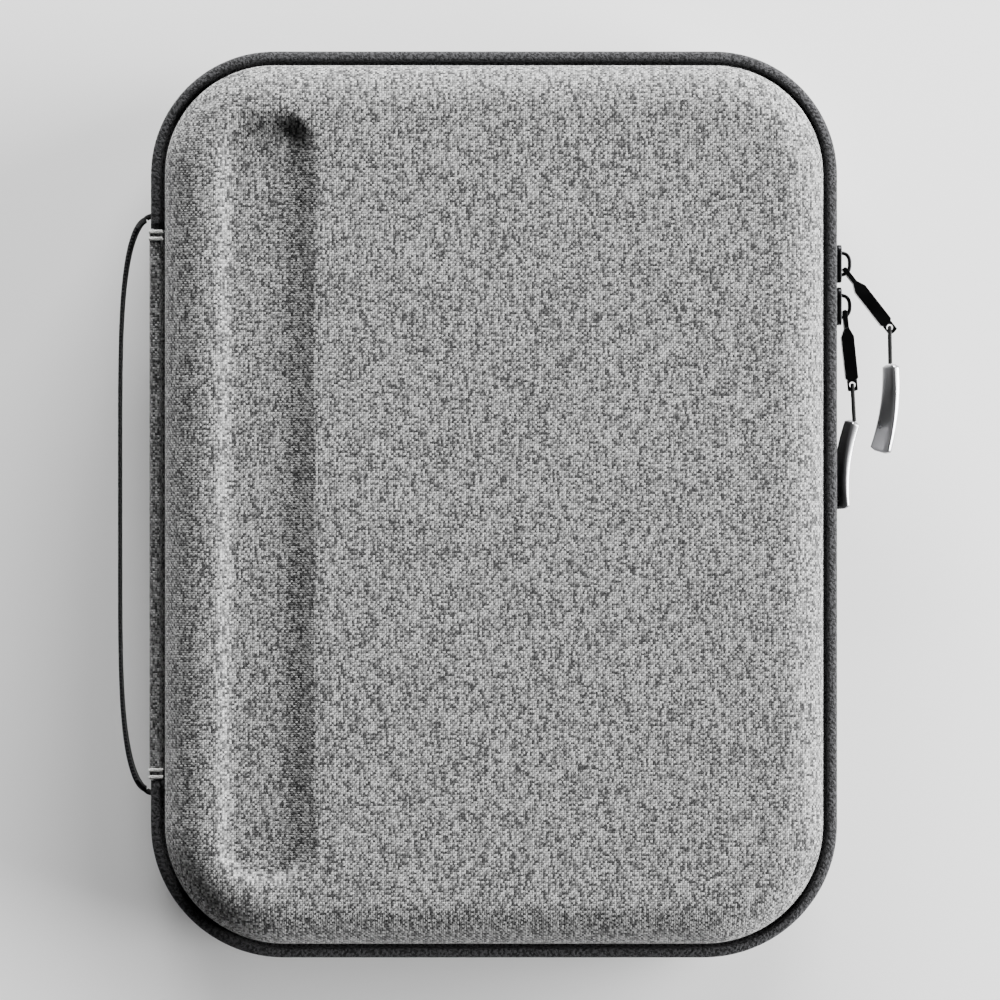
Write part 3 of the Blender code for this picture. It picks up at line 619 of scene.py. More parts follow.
def effect_group(name):
    """The node group of a shared effect, built the first time it is asked for."""
    if name in bpy.data.node_groups:
        return bpy.data.node_groups[name]
    build, inputs, outputs = EFFECTS[name]
    group = bpy.data.node_groups.new(name, "ShaderNodeTree")
    group.interface.new_socket("Vector", in_out="INPUT", socket_type="NodeSocketVector")
    for label, default in inputs.items():
        socket = group.interface.new_socket(label, in_out="INPUT", socket_type="NodeSocketFloat")
        socket.default_value = default
    for label in outputs:
        group.interface.new_socket(label, in_out="OUTPUT", socket_type="NodeSocketFloat")
    start = group.nodes.new("NodeGroupInput")
    end = group.nodes.new("NodeGroupOutput")
    for label, value in build(group, start.outputs).items():
        group.links.new(value, end.inputs[label])
    return group


def effect(tree, name, vector, **values):
    """Places a shared effect in a material with its own values, and gives its outputs."""
    node = tree.nodes.new("ShaderNodeGroup")
    node.node_tree = effect_group(name)
    tree.links.new(vector, node.inputs["Vector"])
    for label, value in values.items():
        node.inputs[label].default_value = value
    return node.outputs


def start_material(name, roughness, metallic=0.0, sheen=0.0, specular=0.5):
    made = bpy.data.materials.new(name)
    made.use_nodes = True
    tree = made.node_tree
    shader = tree.nodes["Principled BSDF"]
    shader.inputs["Roughness"].default_value = roughness
    shader.inputs["Metallic"].default_value = metallic
    shader.inputs["Sheen Weight"].default_value = sheen
    shader.inputs["Specular IOR Level"].default_value = specular
    return made, tree, shader


def bump(tree, shader, height, distance, strength=1.0):
    node = tree.nodes.new("ShaderNodeBump")
    node.inputs["Distance"].default_value = distance
    node.inputs["Strength"].default_value = strength
    tree.links.new(height, node.inputs["Height"])
    tree.links.new(node.outputs["Normal"], shader.inputs["Normal"])


def cloth_uv(tree):
    node = tree.nodes.new("ShaderNodeUVMap")
    node.uv_map = "Cloth"
    return node.outputs[0]


def object_place(tree):
    return tree.nodes.new("ShaderNodeTexCoord").outputs["Object"]


def toned(tree, shader, tone, colour, low, high):
    """Colours a shader from low to high times the colour, by tone."""
    dark, light = (tuple(min(1.0, value * share) for value in colour) for share in (low, high))
    tree.links.new(mix_colour(tree, tone, dark, light), shader.inputs["Base Color"])


def heather(name, fabric, shade=1.0):
    """Salt-and-pepper fabric: tone picks between the dark and the light yarn."""
    made, tree, shader = start_material(name, 0.92, sheen=0.22, specular=0.2)
    weave = effect(tree, "Plain weave", cloth_uv(tree), Pitch=fabric.yarn)
    dark, light = (tuple(value * shade for value in yarn) for yarn in (fabric.dark, fabric.light))
    # The weave's Tone carries painted shade in the gaps between yarns, besides the yarns' own tones
    colour = mix_colour(tree, weave["Tone"], dark, light)
    tree.links.new(colour, shader.inputs["Base Color"])
    height = math_node(tree, "ADD", weave["Height"],
                       math_node(tree, "MULTIPLY", weave["Tone"], 0.6))
    bump(tree, shader, height, 0.00022, 0.7)
    return made


def twill(name, fabric, shade=1.0):
    """Woven tape: threads of two tones over herringbone ribs."""
    made, tree, shader = start_material(name, 0.88, sheen=0.02, specular=0.2)
    tape = effect(tree, "Herringbone twill", cloth_uv(tree), Pitch=0.0015)
    mottle = contrast(tree, tape["Fibre"], 0.40, 0.60)
    tone = weighted(tree, (0.22, tape["Rib"]), (0.78, mottle))
    toned(tree, shader, tone, fabric.tape, 0.35 * shade, 2.1 * shade)
    bump(tree, shader, tone, 0.00030, 0.8)
    return made


def soft_cloth(name, colour, scale, roughness=0.95, sheen=0.25):
    """Napped or knitted cloth, its nap raised by the noise that shades it."""
    made, tree, shader = start_material(name, roughness, sheen=sheen, specular=0.2)
    cloth = effect(tree, "Nap", object_place(tree), Scale=scale)
    toned(tree, shader, cloth["Tone"], colour, 0.55, 1.6)
    bump(tree, shader, cloth["Height"], 0.0003, 0.6)
    return made


def metal(name, colour, roughness, metallic=1.0):
    """Satin metal or nylon: smudges move its roughness and lightly its colour."""
    made, tree, shader = start_material(name, roughness, metallic)
    finish = effect(tree, "Metal grain", object_place(tree))
    smudge = math_node(tree, "MULTIPLY", finish["Smudge"], 0.16)
    rough = math_node(tree, "ADD", roughness - 0.08, smudge)
    tree.links.new(rough, shader.inputs["Roughness"])
    toned(tree, shader, finish["Smudge"], colour, 0.8, 1.0)
    bump(tree, shader, finish["Grain"], 0.00003, 0.4)
    return made


def ribbed(name, colour, pitch, roughness=0.85):
    """Webbing, elastic or thread, ribbed along its own length."""
    made, tree, shader = start_material(name, roughness, sheen=0.05, specular=0.15)
    rib = effect(tree, "Cross ribs", cloth_uv(tree), Pitch=pitch)["Rib"]
    toned(tree, shader, rib, colour, 0.45, 1.5)
    bump(tree, shader, rib, 0.00022, 0.8)
    return made


def net(name, colour, pitch):
    """Knitted net: staggered holes where |sin| |sin| of the place passes a limit."""
    made, tree, shader = start_material(name, 0.9, sheen=0.1, specular=0.2)
    u, v = split(tree, cloth_uv(tree))
    waves = [math_node(tree, "ABSOLUTE", wave(tree, math_node(tree, sign, u, v), 2 * pitch))
             for sign in ("ADD", "SUBTRACT")]
    open_share = math_node(tree, "MULTIPLY", *waves)
    tree.links.new(math_node(tree, "LESS_THAN", open_share, 0.42), shader.inputs["Alpha"])
    toned(tree, shader, open_share, colour, 1.8, 1.0)
    bump(tree, shader, math_node(tree, "SUBTRACT", 1.0, open_share), 0.0002, 0.7)
    return made


# Pieces

def half_body(upper):
    return "cover" if upper else "back_half"


def half_name(upper):
    return "front" if upper else "back"


def make_shell(upper, sizes, material, inside):
    """The moulded fabric skin, as thick as it looks at the rim."""
    fine = FINE if upper else 1
    points, uv = skin_grid(SHELL_INSET, 0.0, RIM_TOP - 0.0002, 0.0009, sizes, upper, fine)
    obj = surface(half_name(upper) + "_shell_skin", points, uv, wrap_cols=True, close="last")
    orient(obj, upper)
    wall = solidify(obj, sizes.skin)
    fit(obj, material, half_body(upper), "heather_fabric", half_name(upper) + "_shell")
    obj.data.materials.append(inside)
    wall.material_offset = wall.material_offset_rim = 1


def orient(obj, upper):
    """Turns an open skin so that its faces point out of the case."""
    work = bmesh.new()
    work.from_mesh(obj.data)
    work.normal_update()
    middle = min(work.faces, key=lambda face: face.calc_center_median().xy.length)
    if (middle.normal.z > 0) != upper:
        bmesh.ops.reverse_faces(work, faces=work.faces)
    work.to_mesh(obj.data)
    work.free()


def make_lining(upper, sizes, material):
    """The fleece lining: the shell's shape again, set in by its depth."""
    points, uv = skin_grid(SHELL_INSET + LINING_DEPTH, LINING_DEPTH, RIM_TOP - 0.0004, 0.0016,
                           sizes, upper)
    obj = surface(half_name(upper) + "_lining_skin", points, uv, wrap_cols=True, close="last")
    orient(obj, upper)
    solidify(obj, LINING_THICKNESS)
    fit(obj, material, half_body(upper), "fleece_lining", half_name(upper) + "_lining")


def make_rim_tape(upper, material):
    """The woven tape folded round the flange: a plump band that sinks into a crease beside the
    shell. Its height there rises by a smooth step of the distance past the crease's start."""
    section = rounded_section(-(SHELL_INSET - 0.0001), 0.0, RIM_LOW.z, RIM_TOP, 3.0, 44)
    share = np.clip((-CREASE_START - section[:, 0]) / CREASE_SLOPE, 0, 1)
    crease = RIM_LOW.z + CREASE_DEPTH * share * share * (3 - 2 * share)
    section[:, 1] = np.maximum(section[:, 1], crease)
    obj = rim_sweep(half_name(upper) + "_rim_tape", section, HEM_HIGH.y + GAP, upper)
    fit(obj, material, half_body(upper), "charcoal_tape", half_name(upper) + "_rim_binding")


def make_zip_tape(upper, material):
    """The thin tape that carries the coil, standing on the rim tape."""
    section = rounded_section(-0.0014, -0.0006, RIM_TOP - 0.0006, TAPE_TOP + 0.0004, 5.0, 20)
    obj = rim_sweep(half_name(upper) + "_zip_tape_band", section, PANEL_HIGH.y + GAP, upper)
    fit(obj, material, half_body(upper), "charcoal_tape", half_name(upper) + "_zip_tape")


def make_coil(upper, sizes, material):
    """A flattened helix of wire along the rim: out = a cos t, up = b sin t, t = 2 pi s / pitch.
    The two coils are half a pitch apart, so that their turns mesh at the middle."""
    at, out, s = rim_path(PANEL_HIGH.y + GAP, sizes.pitch / 12)
    turn = TAU * s / sizes.pitch + (math.pi if upper else 0)
    low, high = COIL_FOOT + sizes.wire, MIDDLE + MESH - sizes.wire
    line = np.empty((len(s), 3))
    reach = (COIL_HALF - sizes.wire) * np.cos(turn) - COIL_HALF
    line[:, :2] = at + out * reach[:, None]
    line[:, 2] = (low + high) / 2 + (high - low) / 2 * np.sin(turn)
    outward = np.column_stack([out * np.cos(turn)[:, None], np.sin(turn)])
    along = unit(np.gradient(line, axis=0))
    side = unit(np.cross(along, outward))
    points = rings(line, np.cross(side, along), side, sizes.wire, 6)
    if upper:
        points[..., 2] = DEPTH - points[..., 2]
    uv = uv_grid(s, np.linspace(0, 0.002, 7))
    obj = surface(half_name(upper) + "_coil_turns", points, uv, wrap_cols=True)
    fit(obj, material, half_body(upper), "coil_nylon", half_name(upper) + "_zip_coil")


def make_spine_fabric(upper, material):
    """Half of the spine's fabric: its profile wraps the flange, runs up the outer face to the
    middle and returns inside."""
    outer, inner, back = HEM_LOW.x, HEM_HIGH.x, PANEL_HIGH.x
    foot, r = RIM_LOW.z, SPINE_CORNER
    sunk = foot + CREASE_DEPTH
    lip = outer + CREASE_START + GAP
    turn = np.linspace(math.pi / 2, 0, 7)
    corner = np.stack([outer + r - r * np.cos(turn), foot + r - r * np.sin(turn)], 1)
    rise = np.linspace(foot + r, MIDDLE, 26)[1:]
    fall = np.linspace(MIDDLE, RIM_TOP + 0.0004, 16)
    profile = np.concatenate([
        [[inner, sunk + 0.0003], [inner - 0.0004, sunk], [lip + 0.0008, sunk - 0.0004],
         [lip + 0.0004, foot + 0.0008], [lip, foot + 0.0001], [lip - 0.0006, foot]],
        corner,
        np.stack([np.full(len(rise), outer), rise], 1),
        np.stack([np.full(len(fall), back), fall], 1),
        [[back + 0.0004, RIM_TOP], [inner - 0.0004, RIM_TOP], [inner, RIM_TOP - 0.0006]],
    ])
    ys = np.linspace(HEM_LOW.y, HEM_HIGH.y, 150)
    points = np.empty((len(ys), len(profile), 3))
    points[..., 0] = profile[None, :, 0]
    points[..., 1] = ys[:, None]
    points[..., 2] = DEPTH - profile[None, :, 1] if upper else profile[None, :, 1]
    around = cumulative(np.concatenate([profile, profile[:1]]))
    obj = surface(half_name(upper) + "_spine_fabric", points, uv_grid(ys, around)[..., ::-1],
                  wrap_cols=True)
    paint(obj, material)
    if upper:
        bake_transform(obj)
        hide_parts("front_spine_hem")
    else:
        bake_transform(obj)
        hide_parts("back_spine_hem", "spine_panel")


def tube(name, path, radius, sides=8, reference=(0.31, 0.17, 0.93)):
    """A round tube along path. Each ring's axes are its direction crossed with the reference."""
    along = unit(np.gradient(path, axis=0))
    side = unit(np.cross(along, np.array(reference)))
    points = rings(path, side, np.cross(side, along), radius, sides)
    uv = uv_grid(cumulative(path), np.linspace(0, 0.003, sides + 1))
    return surface(name, points, uv, wrap_cols=True)


def make_bartack(upper, side, sizes, material):
    """Two dense zigzag rows of thread across the hem, joined down its outer face. A row swings
    by sign(sin) |sin|^0.6, and dips to the face's edge by the square of what is left to run."""
    x0, x1 = HEM_LOW.x + 0.0001, HEM_HIGH.x - 0.0004
    z = DEPTH - RIM_LOW.z + 0.0001 if upper else RIM_LOW.z - 0.0001
    inwards = -1 if upper else 1
    t = np.linspace(0, 1, sizes.stitches * 8)
    swing = np.sin(TAU * sizes.stitches * t)
    zigzag = BARTACK_SWING * np.sign(swing) * np.abs(swing) ** 0.6
    dip = 0.0005 * (1 - np.clip(t * 6, 0, 1)) ** 2
    down = np.linspace(0, 1, 40)[:24]
    drop = (RIM_TAPE_HEIGHT + 0.004) * down
    edge = HEM_LOW.x - 0.00005 + 0.0006 * (1 - np.clip(down * 9, 0, 1)) ** 2
    rows = []
    for row in BARTACK_ROWS:
        y = HEM_HIGH.y - row
        path = np.stack([x0 + (x1 - x0) * t, side * (y + zigzag), z + inwards * dip], 1)
        rows.append(tube("thread", path, THREAD, 7))
    for row in BARTACK_ROWS:
        y = HEM_HIGH.y - row + 0.0003 * np.sin(TAU * 7 * down)
        path = np.stack([edge, side * y, z + inwards * drop], 1)
        rows.append(tube("thread", path, THREAD - 0.00004, 7))
    place = end_name(side)
    obj = merge(half_name(upper) + "_bartack_thread_" + place, rows)
    fit(obj, material, half_body(upper), "white_thread", half_name(upper) + "_bartack_" + place)


def make_handle(material):
    """The webbing strap: its line stands off the spine by a flattened arch,
    standoff + bow (1 - |t|^5)^0.56 with t from -1 to 1, and widens from its sewn ends."""
    t = np.sin(np.linspace(-math.pi / 2, math.pi / 2, 150))
    bow = HEM_LOW.x - STRAP_LOW.x - 0.0006 - HANDLE_STANDOFF
    rise = bow * np.maximum(1 - np.abs(t) ** 5, 0) ** 0.56
    line = np.stack([HEM_LOW.x - HANDLE_STANDOFF - rise, STRAP_HIGH.y * t], 1)
    widening = (STRAP_HIGH.z - STRAP_LOW.z - HANDLE_END_WIDTH) * np.clip(rise / 0.0025, 0, 1)
    half_thickness = 0.00050 + 0.00042 * np.abs(t) ** 4
    obj = flat_sweep("handle_webbing_strap", line, half_thickness,
                     (HANDLE_END_WIDTH + widening) / 2, MIDDLE)
    fit(obj, material, "handle", "handle_webbing", "handle_strap")


def make_anchor(side, material):
    """The strap's sewn end: a folded tab from the strap's last stitch into the spine."""
    node = "handle_anchor_" + end_name(side)
    low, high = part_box(node)
    t = np.linspace(0, 1, 24)
    near, far = min(abs(low.y), abs(high.y)), max(abs(low.y), abs(high.y))
    line = np.stack([
        low.x + 0.0005 + (PANEL_HIGH.x - 0.0006 - low.x) * t ** 1.5,
        side * (near + (far - 0.0006 - near) * np.sin(t * math.pi / 2)),
    ], 1)
    obj = flat_sweep("handle_tab_" + end_name(side), line, 0.00080, 0.0017, MIDDLE)
    fit(obj, material, "spine", "handle_webbing", node)


def slab(name, x0, x1, centre_y, half_length, half_width, edge, taper=0.0):
    """A plate across X with rounded edges: superellipse outlines |y|^p + |z|^p = 1 stacked from
    x0 to x1, drawn in at both faces by a quarter circle. taper narrows its +Y end."""
    turn = np.linspace(0, math.pi / 2, 5)
    layers = np.concatenate([x0 + edge * (1 - np.cos(turn)), x1 - edge * (1 - np.cos(turn[::-1]))])
    drawn = edge * np.concatenate([1 - np.sin(turn), 1 - np.sin(turn[::-1])])
    ring = rounded_section(-1.0, 1.0, -1.0, 1.0, 4.0, 48)
    points = np.empty((len(layers), len(ring), 3))
    points[..., 0] = layers[:, None]
    points[..., 1] = centre_y + (half_length - drawn)[:, None] * ring[None, :, 0]
    narrow = 1 - taper * (1 + ring[:, 0]) / 2
    points[..., 2] = MIDDLE + (half_width - drawn)[:, None] * (ring[:, 1] * narrow)[None]
    uv = uv_grid(layers, np.linspace(0, 0.03, len(ring) + 1))
    return surface(name, points, uv, wrap_cols=True)


def make_slider(place, nose, material):
    """A coil slider: two tapered plates joined by a post, lips over the back coil, and a bowed
    loop for the link, y = a |cos t|^0.8, x = b |sin t|^0.8."""
    low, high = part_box(place + "_slider")
    centre, half = (low.y + high.y) / 2, (high.y - low.y) / 2
    half_width = (high.z - low.z) / 2
    outer, foot = SLIDER_OUTER_X, SLIDER_OUTER_X - 0.0004
    plate = outer - HALF_WIDTH - GAP
    pieces = [
        slab("plate", outer - plate, outer, centre, half, half_width, 0.0004),
        slab("plate", low.x, low.x + plate, centre, half, half_width, 0.0004),
        slab("post", low.x + 0.0008, outer - 0.0005, centre + nose * (half - POST_INSET),
             0.0014, 0.0003, 0.0001),
    ]
    t = np.linspace(0, math.pi, 48)
    line = np.stack([
        foot + (high.x - 0.0005 - foot) * np.abs(np.sin(t)) ** 0.8,
        centre + LOOP_REACH * np.sign(np.cos(t)) * np.abs(np.cos(t)) ** 0.8,
    ], 1)
    pieces.append(flat_sweep("loop", line, LOOP_HALF_THICKNESS, LOOP_HALF_WIDTH, MIDDLE, power=3.0))
    obj = merge(place + "_slider_metal", pieces)
    fit(obj, material, place + "_slider_body", "black_metal", place + "_slider")


def make_grip(place, points, twist, thickness, material):
    """A bent metal grip: a smooth line through three points, its section turning as it goes."""
    t = np.linspace(0, 1, 40)
    share = t[:, None]
    a, b, c = (np.array(point) for point in points)
    line = (1 - share) ** 2 * a + 2 * share * (1 - share) * b + share * share * c
    ends = np.minimum(1, np.minimum(t, 1 - t) / 0.03 + 0.55)
    half_width = (0.0034 + 0.0004 * t) * ends
    half_thickness = (thickness[0] + (thickness[1] - thickness[0]) * t) / 2 * ends
    turn = np.radians(twist[0] + (twist[1] - twist[0]) * t)
    obj = flat_sweep(place + "_grip_metal", line, half_thickness, half_width, MIDDLE, turn, 5.0, 40)
    fit(obj, material, place + "_grip_body", "gunmetal_grip", place + "_pull_grip")


def band(name, origin, heading, path, thickness, width):
    """A flat elastic band standing on a heading: path holds (distance, height) pairs, and the
    band is offset from it by a rounded section, thickness along its normal, width level."""
    forward = np.array([*heading, 0.0]) / np.hypot(*heading)
    level = np.array([-forward[1], forward[0], 0.0])
    up = np.array([0.0, 0.0, 1.0])
    along = unit(np.gradient(path, axis=0))
    normal = np.stack([-along[:, 1], along[:, 0]], 1)
    section = rounded_section(-thickness / 2, thickness / 2, -width / 2, width / 2, 6.0, 36)
    distance = path[:, 0, None] + normal[:, 0, None] * section[None, :, 0]
    height = path[:, 1, None] + normal[:, 1, None] * section[None, :, 0]
    points = (np.array(origin) + distance[..., None] * forward + height[..., None] * up
              + section[None, :, 1, None] * level)
    girth = np.append(section[:, 1], section[0, 1])
    return surface(name, points, uv_grid(cumulative(path), girth), wrap_cols=True)


def arch(half_length, foot, crown, power=5.0, count=60):
    """A flattened arch as (distance, height) pairs: |d / half|^p + |h / rise|^p = 1."""
    t = np.linspace(0, math.pi, count)
    c, n = np.cos(t), np.sin(t)
    return np.stack([
        -half_length * np.sign(c) * np.abs(c) ** (2 / power),
        foot + (crown - foot) * np.abs(n) ** (2 / power),
    ], 1)


def make_corner_strap(place, material):
    """An elastic band that stands in an arch across one corner of the tablet's place."""
    node = "corner_strap_" + place
    low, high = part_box(node)
    middle = (low + high) / 2
    side = math.copysign(1, middle.x), math.copysign(1, middle.y)
    # The band's width and its length both run at 45 degrees, so they add up along X
    length = (high.x - low.x) * math.sqrt(2) - ELASTIC_WIDTH
    path = arch(length / 2 - ELASTIC / 2, low.z, high.z - ELASTIC / 2)
    obj = band("corner_elastic_" + place, (middle.x, middle.y, 0), (side[0], -side[1]), path,
               ELASTIC, ELASTIC_WIDTH - 0.0002)
    fit(obj, material, "back_half", "elastic_band", node)


def make_pen_loop(material):
    """The stylus loop: an elastic arch that hangs from the cover's lining."""
    low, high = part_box("pen_loop")
    path = arch((high.x - low.x - ELASTIC) / 2, high.z, low.z + ELASTIC / 2, 3.4)
    obj = band("pen_loop_elastic", ((low.x + high.x) / 2, 0, 0), (1, 0), path, ELASTIC,
               high.y - low.y)
    fit(obj, material, "cover", "elastic_band", "pen_loop")


def make_gusset(material):
    """The pocket's elastic side wall: a soft bar round a rounded rectangle, drawn in a little
    where its gathers fall, by a sine of the length."""
    low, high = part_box("pocket_gusset")
    middle, half = (low + high) / 2, (high - low) / 2
    drawn = GUSSET_HALF_WALL + GUSSET_RADIUS
    path = []
    for number, (sx, sy) in enumerate(((1, -1), (1, 1), (-1, 1), (-1, -1))):
        angle = np.linspace(0, math.pi / 2, 10) + (number - 1) * math.pi / 2
        path.append(np.stack([
            middle.x + sx * (half.x - drawn) + GUSSET_RADIUS * np.cos(angle),
            middle.y + sy * (half.y - drawn) + GUSSET_RADIUS * np.sin(angle),
        ], 1))
    path = np.concatenate(path)
    start = (path[:1] + path[-1:]) / 2
    path = np.concatenate([start, path, start])
    run = cumulative(path)
    at = np.linspace(0, run[-1], 700)
    line = np.stack([np.interp(at, run, path[:, i]) for i in (0, 1)], 1)
    gather = GUSSET_HALF_WALL - 0.0002 + 0.0001 * np.sin(TAU * at / GATHER_PITCH)
    obj = flat_sweep("pocket_gusset_cloth", line, gather, half.z - 0.0001, middle.z, power=3.4)
    fit(obj, material, "cover", "elastic_band", "pocket_gusset")


def make_net(material):
    """The pocket's mesh panel, sagging towards its middle by (1 - u^2)(1 - v^2)."""
    low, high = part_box("pocket_mesh")
    middle, half = (low + high) / 2, (high - low) / 2
    inset = 0.0006
    u, v = np.meshgrid(np.linspace(-1, 1, 60), np.linspace(-1, 1, 76))
    points = np.stack([
        middle.x + u * (half.x - inset),
        middle.y + v * (half.y - inset * 0.2),
        high.z - 0.0001 - 0.0004 * (1 - u * u) * (1 - v * v),
    ], -1)
    obj = surface("pocket_net", points, points[..., :2], close="none")
    solidify(obj, 0.0004)
    fit(obj, material, "cover", "pocket_mesh", "pocket_mesh")


def make_bar(name, node, slot, body, material, axis=0):
    """A sewn strip of cloth along X or Y in its node's box, with rounded edges."""
    low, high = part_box(node)
    middle, half = (low + high) / 2, (high - low) / 2
    t = np.linspace(-1, 1, 90)
    ends = np.minimum(1, (1 - np.abs(t)) / 0.012 + 0.6)
    line = np.tile(np.array(middle.xy), (len(t), 1))
    line[:, axis] += half[axis] * t
    obj = flat_sweep(name, line, half[1 - axis] * ends, half.z * ends, middle.z, power=6.0)
    fit(obj, material, body, slot, node)


def make_pocket_coil(material):
    """A helix of wire along X: y = a cos t, z = b sin t."""
    low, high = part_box("pocket_zip_coil")
    middle, half = (low + high) / 2, (high - low) / 2
    turns = (high.x - low.x) / POCKET_PITCH
    x = np.linspace(low.x + 0.0008, high.x - 0.0008, int(turns * 14))
    turn = TAU * (x - low.x) / POCKET_PITCH
    path = np.stack([
        x,
        middle.y + (half.y - POCKET_WIRE) * np.cos(turn),
        middle.z + (half.z - POCKET_WIRE) * np.sin(turn),
    ], 1)
    obj = tube("pocket_coil_turns", path, POCKET_WIRE, 6, (1.0, 0.0, 0.0))
    fit(obj, material, "cover", "coil_nylon", "pocket_zip_coil")


class CASE_OT_shells(bpy.types.Operator):
    """Make the two moulded fabric shells and their linings"""
    bl_idname = "tablet_case.shells"
    bl_label = "Shells and Linings"

    def execute(self, context):
        fabric = context.scene.case_fabric
        sizes = context.scene.case_shells
        cloth = heather("Heather fabric", fabric)
        fleece = soft_cloth("Fleece lining", (0.045, 0.045, 0.05), 900.0)
        for upper in (False, True):
            make_shell(upper, sizes, cloth, fleece)
            make_lining(upper, sizes, fleece)
        make_bar("spine_lining_strip", "spine_lining", "fleece_lining", "spine", fleece, 1)
        return {"FINISHED"}


class CASE_OT_rim(bpy.types.Operator):
    """Make the woven rim tapes and the coil zip"""
    bl_idname = "tablet_case.rim"
    bl_label = "Rim Tape and Zip"

    def execute(self, context):
        fabric = context.scene.case_fabric
        sizes = context.scene.case_zip
        tape = twill("Charcoal rim tape", fabric)
        dark_tape = twill("Zip tape", fabric, ZIP_TAPE_SHADE)
        nylon = metal("Nylon coil", **NYLON)
        for upper in (False, True):
            make_rim_tape(upper, tape)
            make_zip_tape(upper, dark_tape)
            make_coil(upper, sizes, nylon)
        return {"FINISHED"}


class CASE_OT_spine(bpy.types.Operator):
    """Make the spine's fabric, its bartacks and the handle"""
    bl_idname = "tablet_case.spine"
    bl_label = "Spine and Handle"

    def execute(self, context):
        fabric = context.scene.case_fabric
        sizes = context.scene.case_zip
        cloth = heather("Spine fabric", fabric, SPINE_SHADE)
        thread = ribbed("White thread", (0.62, 0.62, 0.60), 0.0008, 0.7)
        webbing = ribbed("Handle webbing", (0.012, 0.012, 0.0125), 0.0011)
        for upper in (False, True):
            make_spine_fabric(upper, cloth)
            for side in (1, -1):
                make_bartack(upper, side, sizes, thread)
        make_handle(webbing)
        for side in (1, -1):
            make_anchor(side, webbing)
        return {"FINISHED"}


class CASE_OT_pulls(bpy.types.Operator):
    """Finish the sliders, links, cords and grips"""
    bl_idname = "tablet_case.pulls"
    bl_label = "Zip Pulls"

    def execute(self, context):
        black = metal("Black slider metal", **BLACK_METAL)
        satin = metal("Satin grip", (0.42, 0.42, 0.43), 0.30)
        cord = soft_cloth("Pull cord", (0.006, 0.006, 0.006), 4000.0, 0.7, 0.0)
        for place, nose in (("upper", -1), ("lower", 1)):
            make_slider(place, nose, black)
            low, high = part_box(place + "_pull_grip")
            top, knee, foot = (low.x + lean * (high.x - low.x) for lean in GRIP_LEAN[place])
            points = (top, high.y), (knee, (low.y + high.y) / 2), (foot, low.y)
            make_grip(place, points, *GRIP_SECTION[place], satin)
            paint(bevelled(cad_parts[place + "_pull_link"], 0.0003, 3), black)
            paint(bevelled(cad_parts[place + "_pull_cord"], 0.0001, 1), cord)
        return {"FINISHED"}


class CASE_OT_inside(bpy.types.Operator):
    """Finish the corner straps, the pocket and the stylus loop"""
    bl_idname = "tablet_case.inside"
    bl_label = "Fittings Inside"

    def execute(self, context):
        elastic = ribbed("Elastic", (0.030, 0.030, 0.031), 0.0012)
        black = metal("Pocket metal", **BLACK_METAL)
        nylon = metal("Pocket coil", **NYLON)
        for place in ("upper_left", "upper_right", "lower_left", "lower_right"):
            make_corner_strap(place, elastic)
        make_pen_loop(elastic)
        make_gusset(elastic)
        make_net(net("Pocket net", (0.022, 0.022, 0.023), 0.0019))
        make_bar("pocket_hem_cloth", "pocket_hem", "elastic_band", "cover",
                 soft_cloth("Pocket hem", (0.03, 0.03, 0.031), 2500.0))
        make_pocket_coil(nylon)
        for name in ("pocket_slider", "pocket_pull"):
            paint(bevelled(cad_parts[name], 0.0003), black)
        return {"FINISHED"}


def area_light(name, place, target, size, power):
    """A soft light at place, turned so that its -Z looks at the target."""
    data = bpy.data.lights.new(name, "AREA")
    data.shape = "RECTANGLE"
    data.size, data.size_y = size
    data.energy = power
    lamp = link(bpy.data.objects.new(name, data))
    lamp.location = place
    direction = np.array(target) - np.array(place)
    yaw = math.atan2(direction[1], direction[0])
    pitch = math.atan2(math.hypot(direction[0], direction[1]), -direction[2])
    lamp.rotation_euler = (pitch, 0, yaw - math.pi / 2)


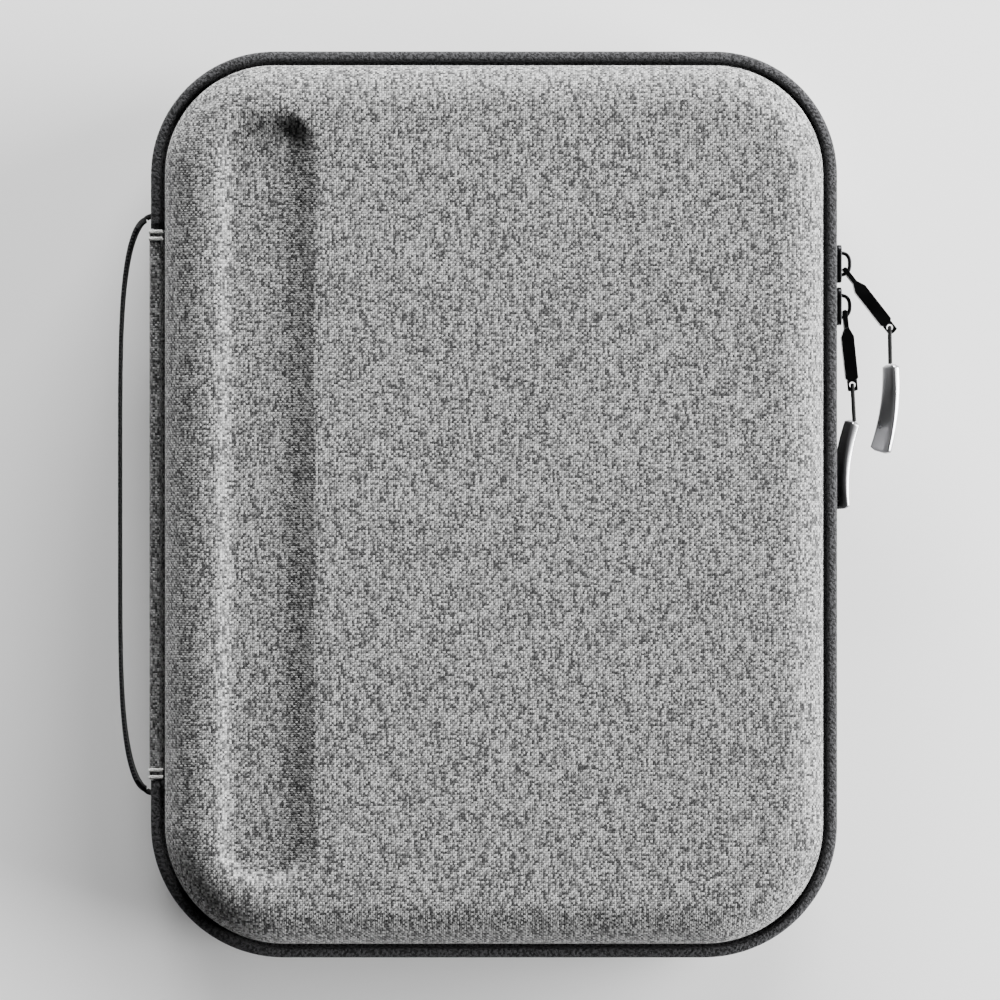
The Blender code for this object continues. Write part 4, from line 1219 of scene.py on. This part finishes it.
class CASE_OT_stage(bpy.types.Operator):
    """Make the floor, the lights and the camera"""
    bl_idname = "tablet_case.stage"
    bl_label = "Stage"

    def execute(self, context):
        floor_mesh = bpy.data.meshes.new("floor")
        corners = [(x * FLOOR_HALF, y * FLOOR_HALF, 0)
                   for x, y in ((-1, -1), (1, -1), (1, 1), (-1, 1))]
        floor_mesh.from_pydata(corners, [], [(0, 1, 2, 3)])
        floor = link(bpy.data.objects.new("floor", floor_mesh))
        floor.location.z = -FLOOR_DROP
        made, _, shader = start_material("Pale floor", 0.9)
        shader.inputs["Base Color"].default_value = (FLOOR_GREY, FLOOR_GREY, FLOOR_GREY, 1)
        paint(floor, made)
        world = bpy.data.worlds.new("Studio")
        world.use_nodes = True
        background = world.node_tree.nodes["Background"]
        background.inputs["Color"].default_value = (1, 1, 1, 1)
        background.inputs["Strength"].default_value = AMBIENT
        context.scene.world = world
        area_light("Right key", (2.0, 0.1, 0.54), (0.0, 0.0, 0.02), (2.0, 0.84), 236)
        area_light("Top key", (0.1, 2.0, 0.52), (0.0, 0.0, 0.02), (2.0, 0.80), 216)
        camera_data = bpy.data.cameras.new("Camera")
        camera = link(bpy.data.objects.new("Camera", camera_data))
        camera_data.sensor_width = SENSOR
        camera_data.lens = SENSOR * (CAMERA_PLACE[2] - (DEPTH - RIM_TOP)) / VIEW_WIDTH
        camera_data.clip_end = 20
        camera.location = CAMERA_PLACE
        context.scene.camera = camera
        return {"FINISHED"}


class CASE_PT_panel(bpy.types.Panel):
    """Lists the tablet case's pieces and sizes"""
    bl_idname = "CASE_PT_panel"
    bl_label = "Tablet Case"
    bl_space_type = "VIEW_3D"
    bl_region_type = "UI"
    bl_category = "Tablet Case"

    def draw(self, context):
        for group in (context.scene.case_fabric, context.scene.case_shells, context.scene.case_zip):
            box = self.layout.box()
            for key in group.bl_rna.properties.keys():
                if key not in ("rna_type", "name"):
                    box.prop(group, key)
        for operator in OPERATORS:
            self.layout.operator(operator.bl_idname)


OPERATORS = (
    CASE_OT_stage, CASE_OT_shells, CASE_OT_rim, CASE_OT_spine, CASE_OT_pulls, CASE_OT_inside,
)
CLASSES = (FabricSizes, ShellSizes, ZipSizes, *OPERATORS, CASE_PT_panel)


def register():
    for item in CLASSES:
        bpy.utils.register_class(item)
    bpy.types.Scene.case_fabric = PointerProperty(type=FabricSizes)
    bpy.types.Scene.case_shells = PointerProperty(type=ShellSizes)
    bpy.types.Scene.case_zip = PointerProperty(type=ZipSizes)


def unregister():
    del bpy.types.Scene.case_zip
    del bpy.types.Scene.case_shells
    del bpy.types.Scene.case_fabric
    for item in reversed(CLASSES):
        bpy.utils.unregister_class(item)


def main():
    register()
    for operator in OPERATORS:
        group, action = operator.bl_idname.split(".")
        getattr(getattr(bpy.ops, group), action)()


if __name__ == "__main__":
    main()
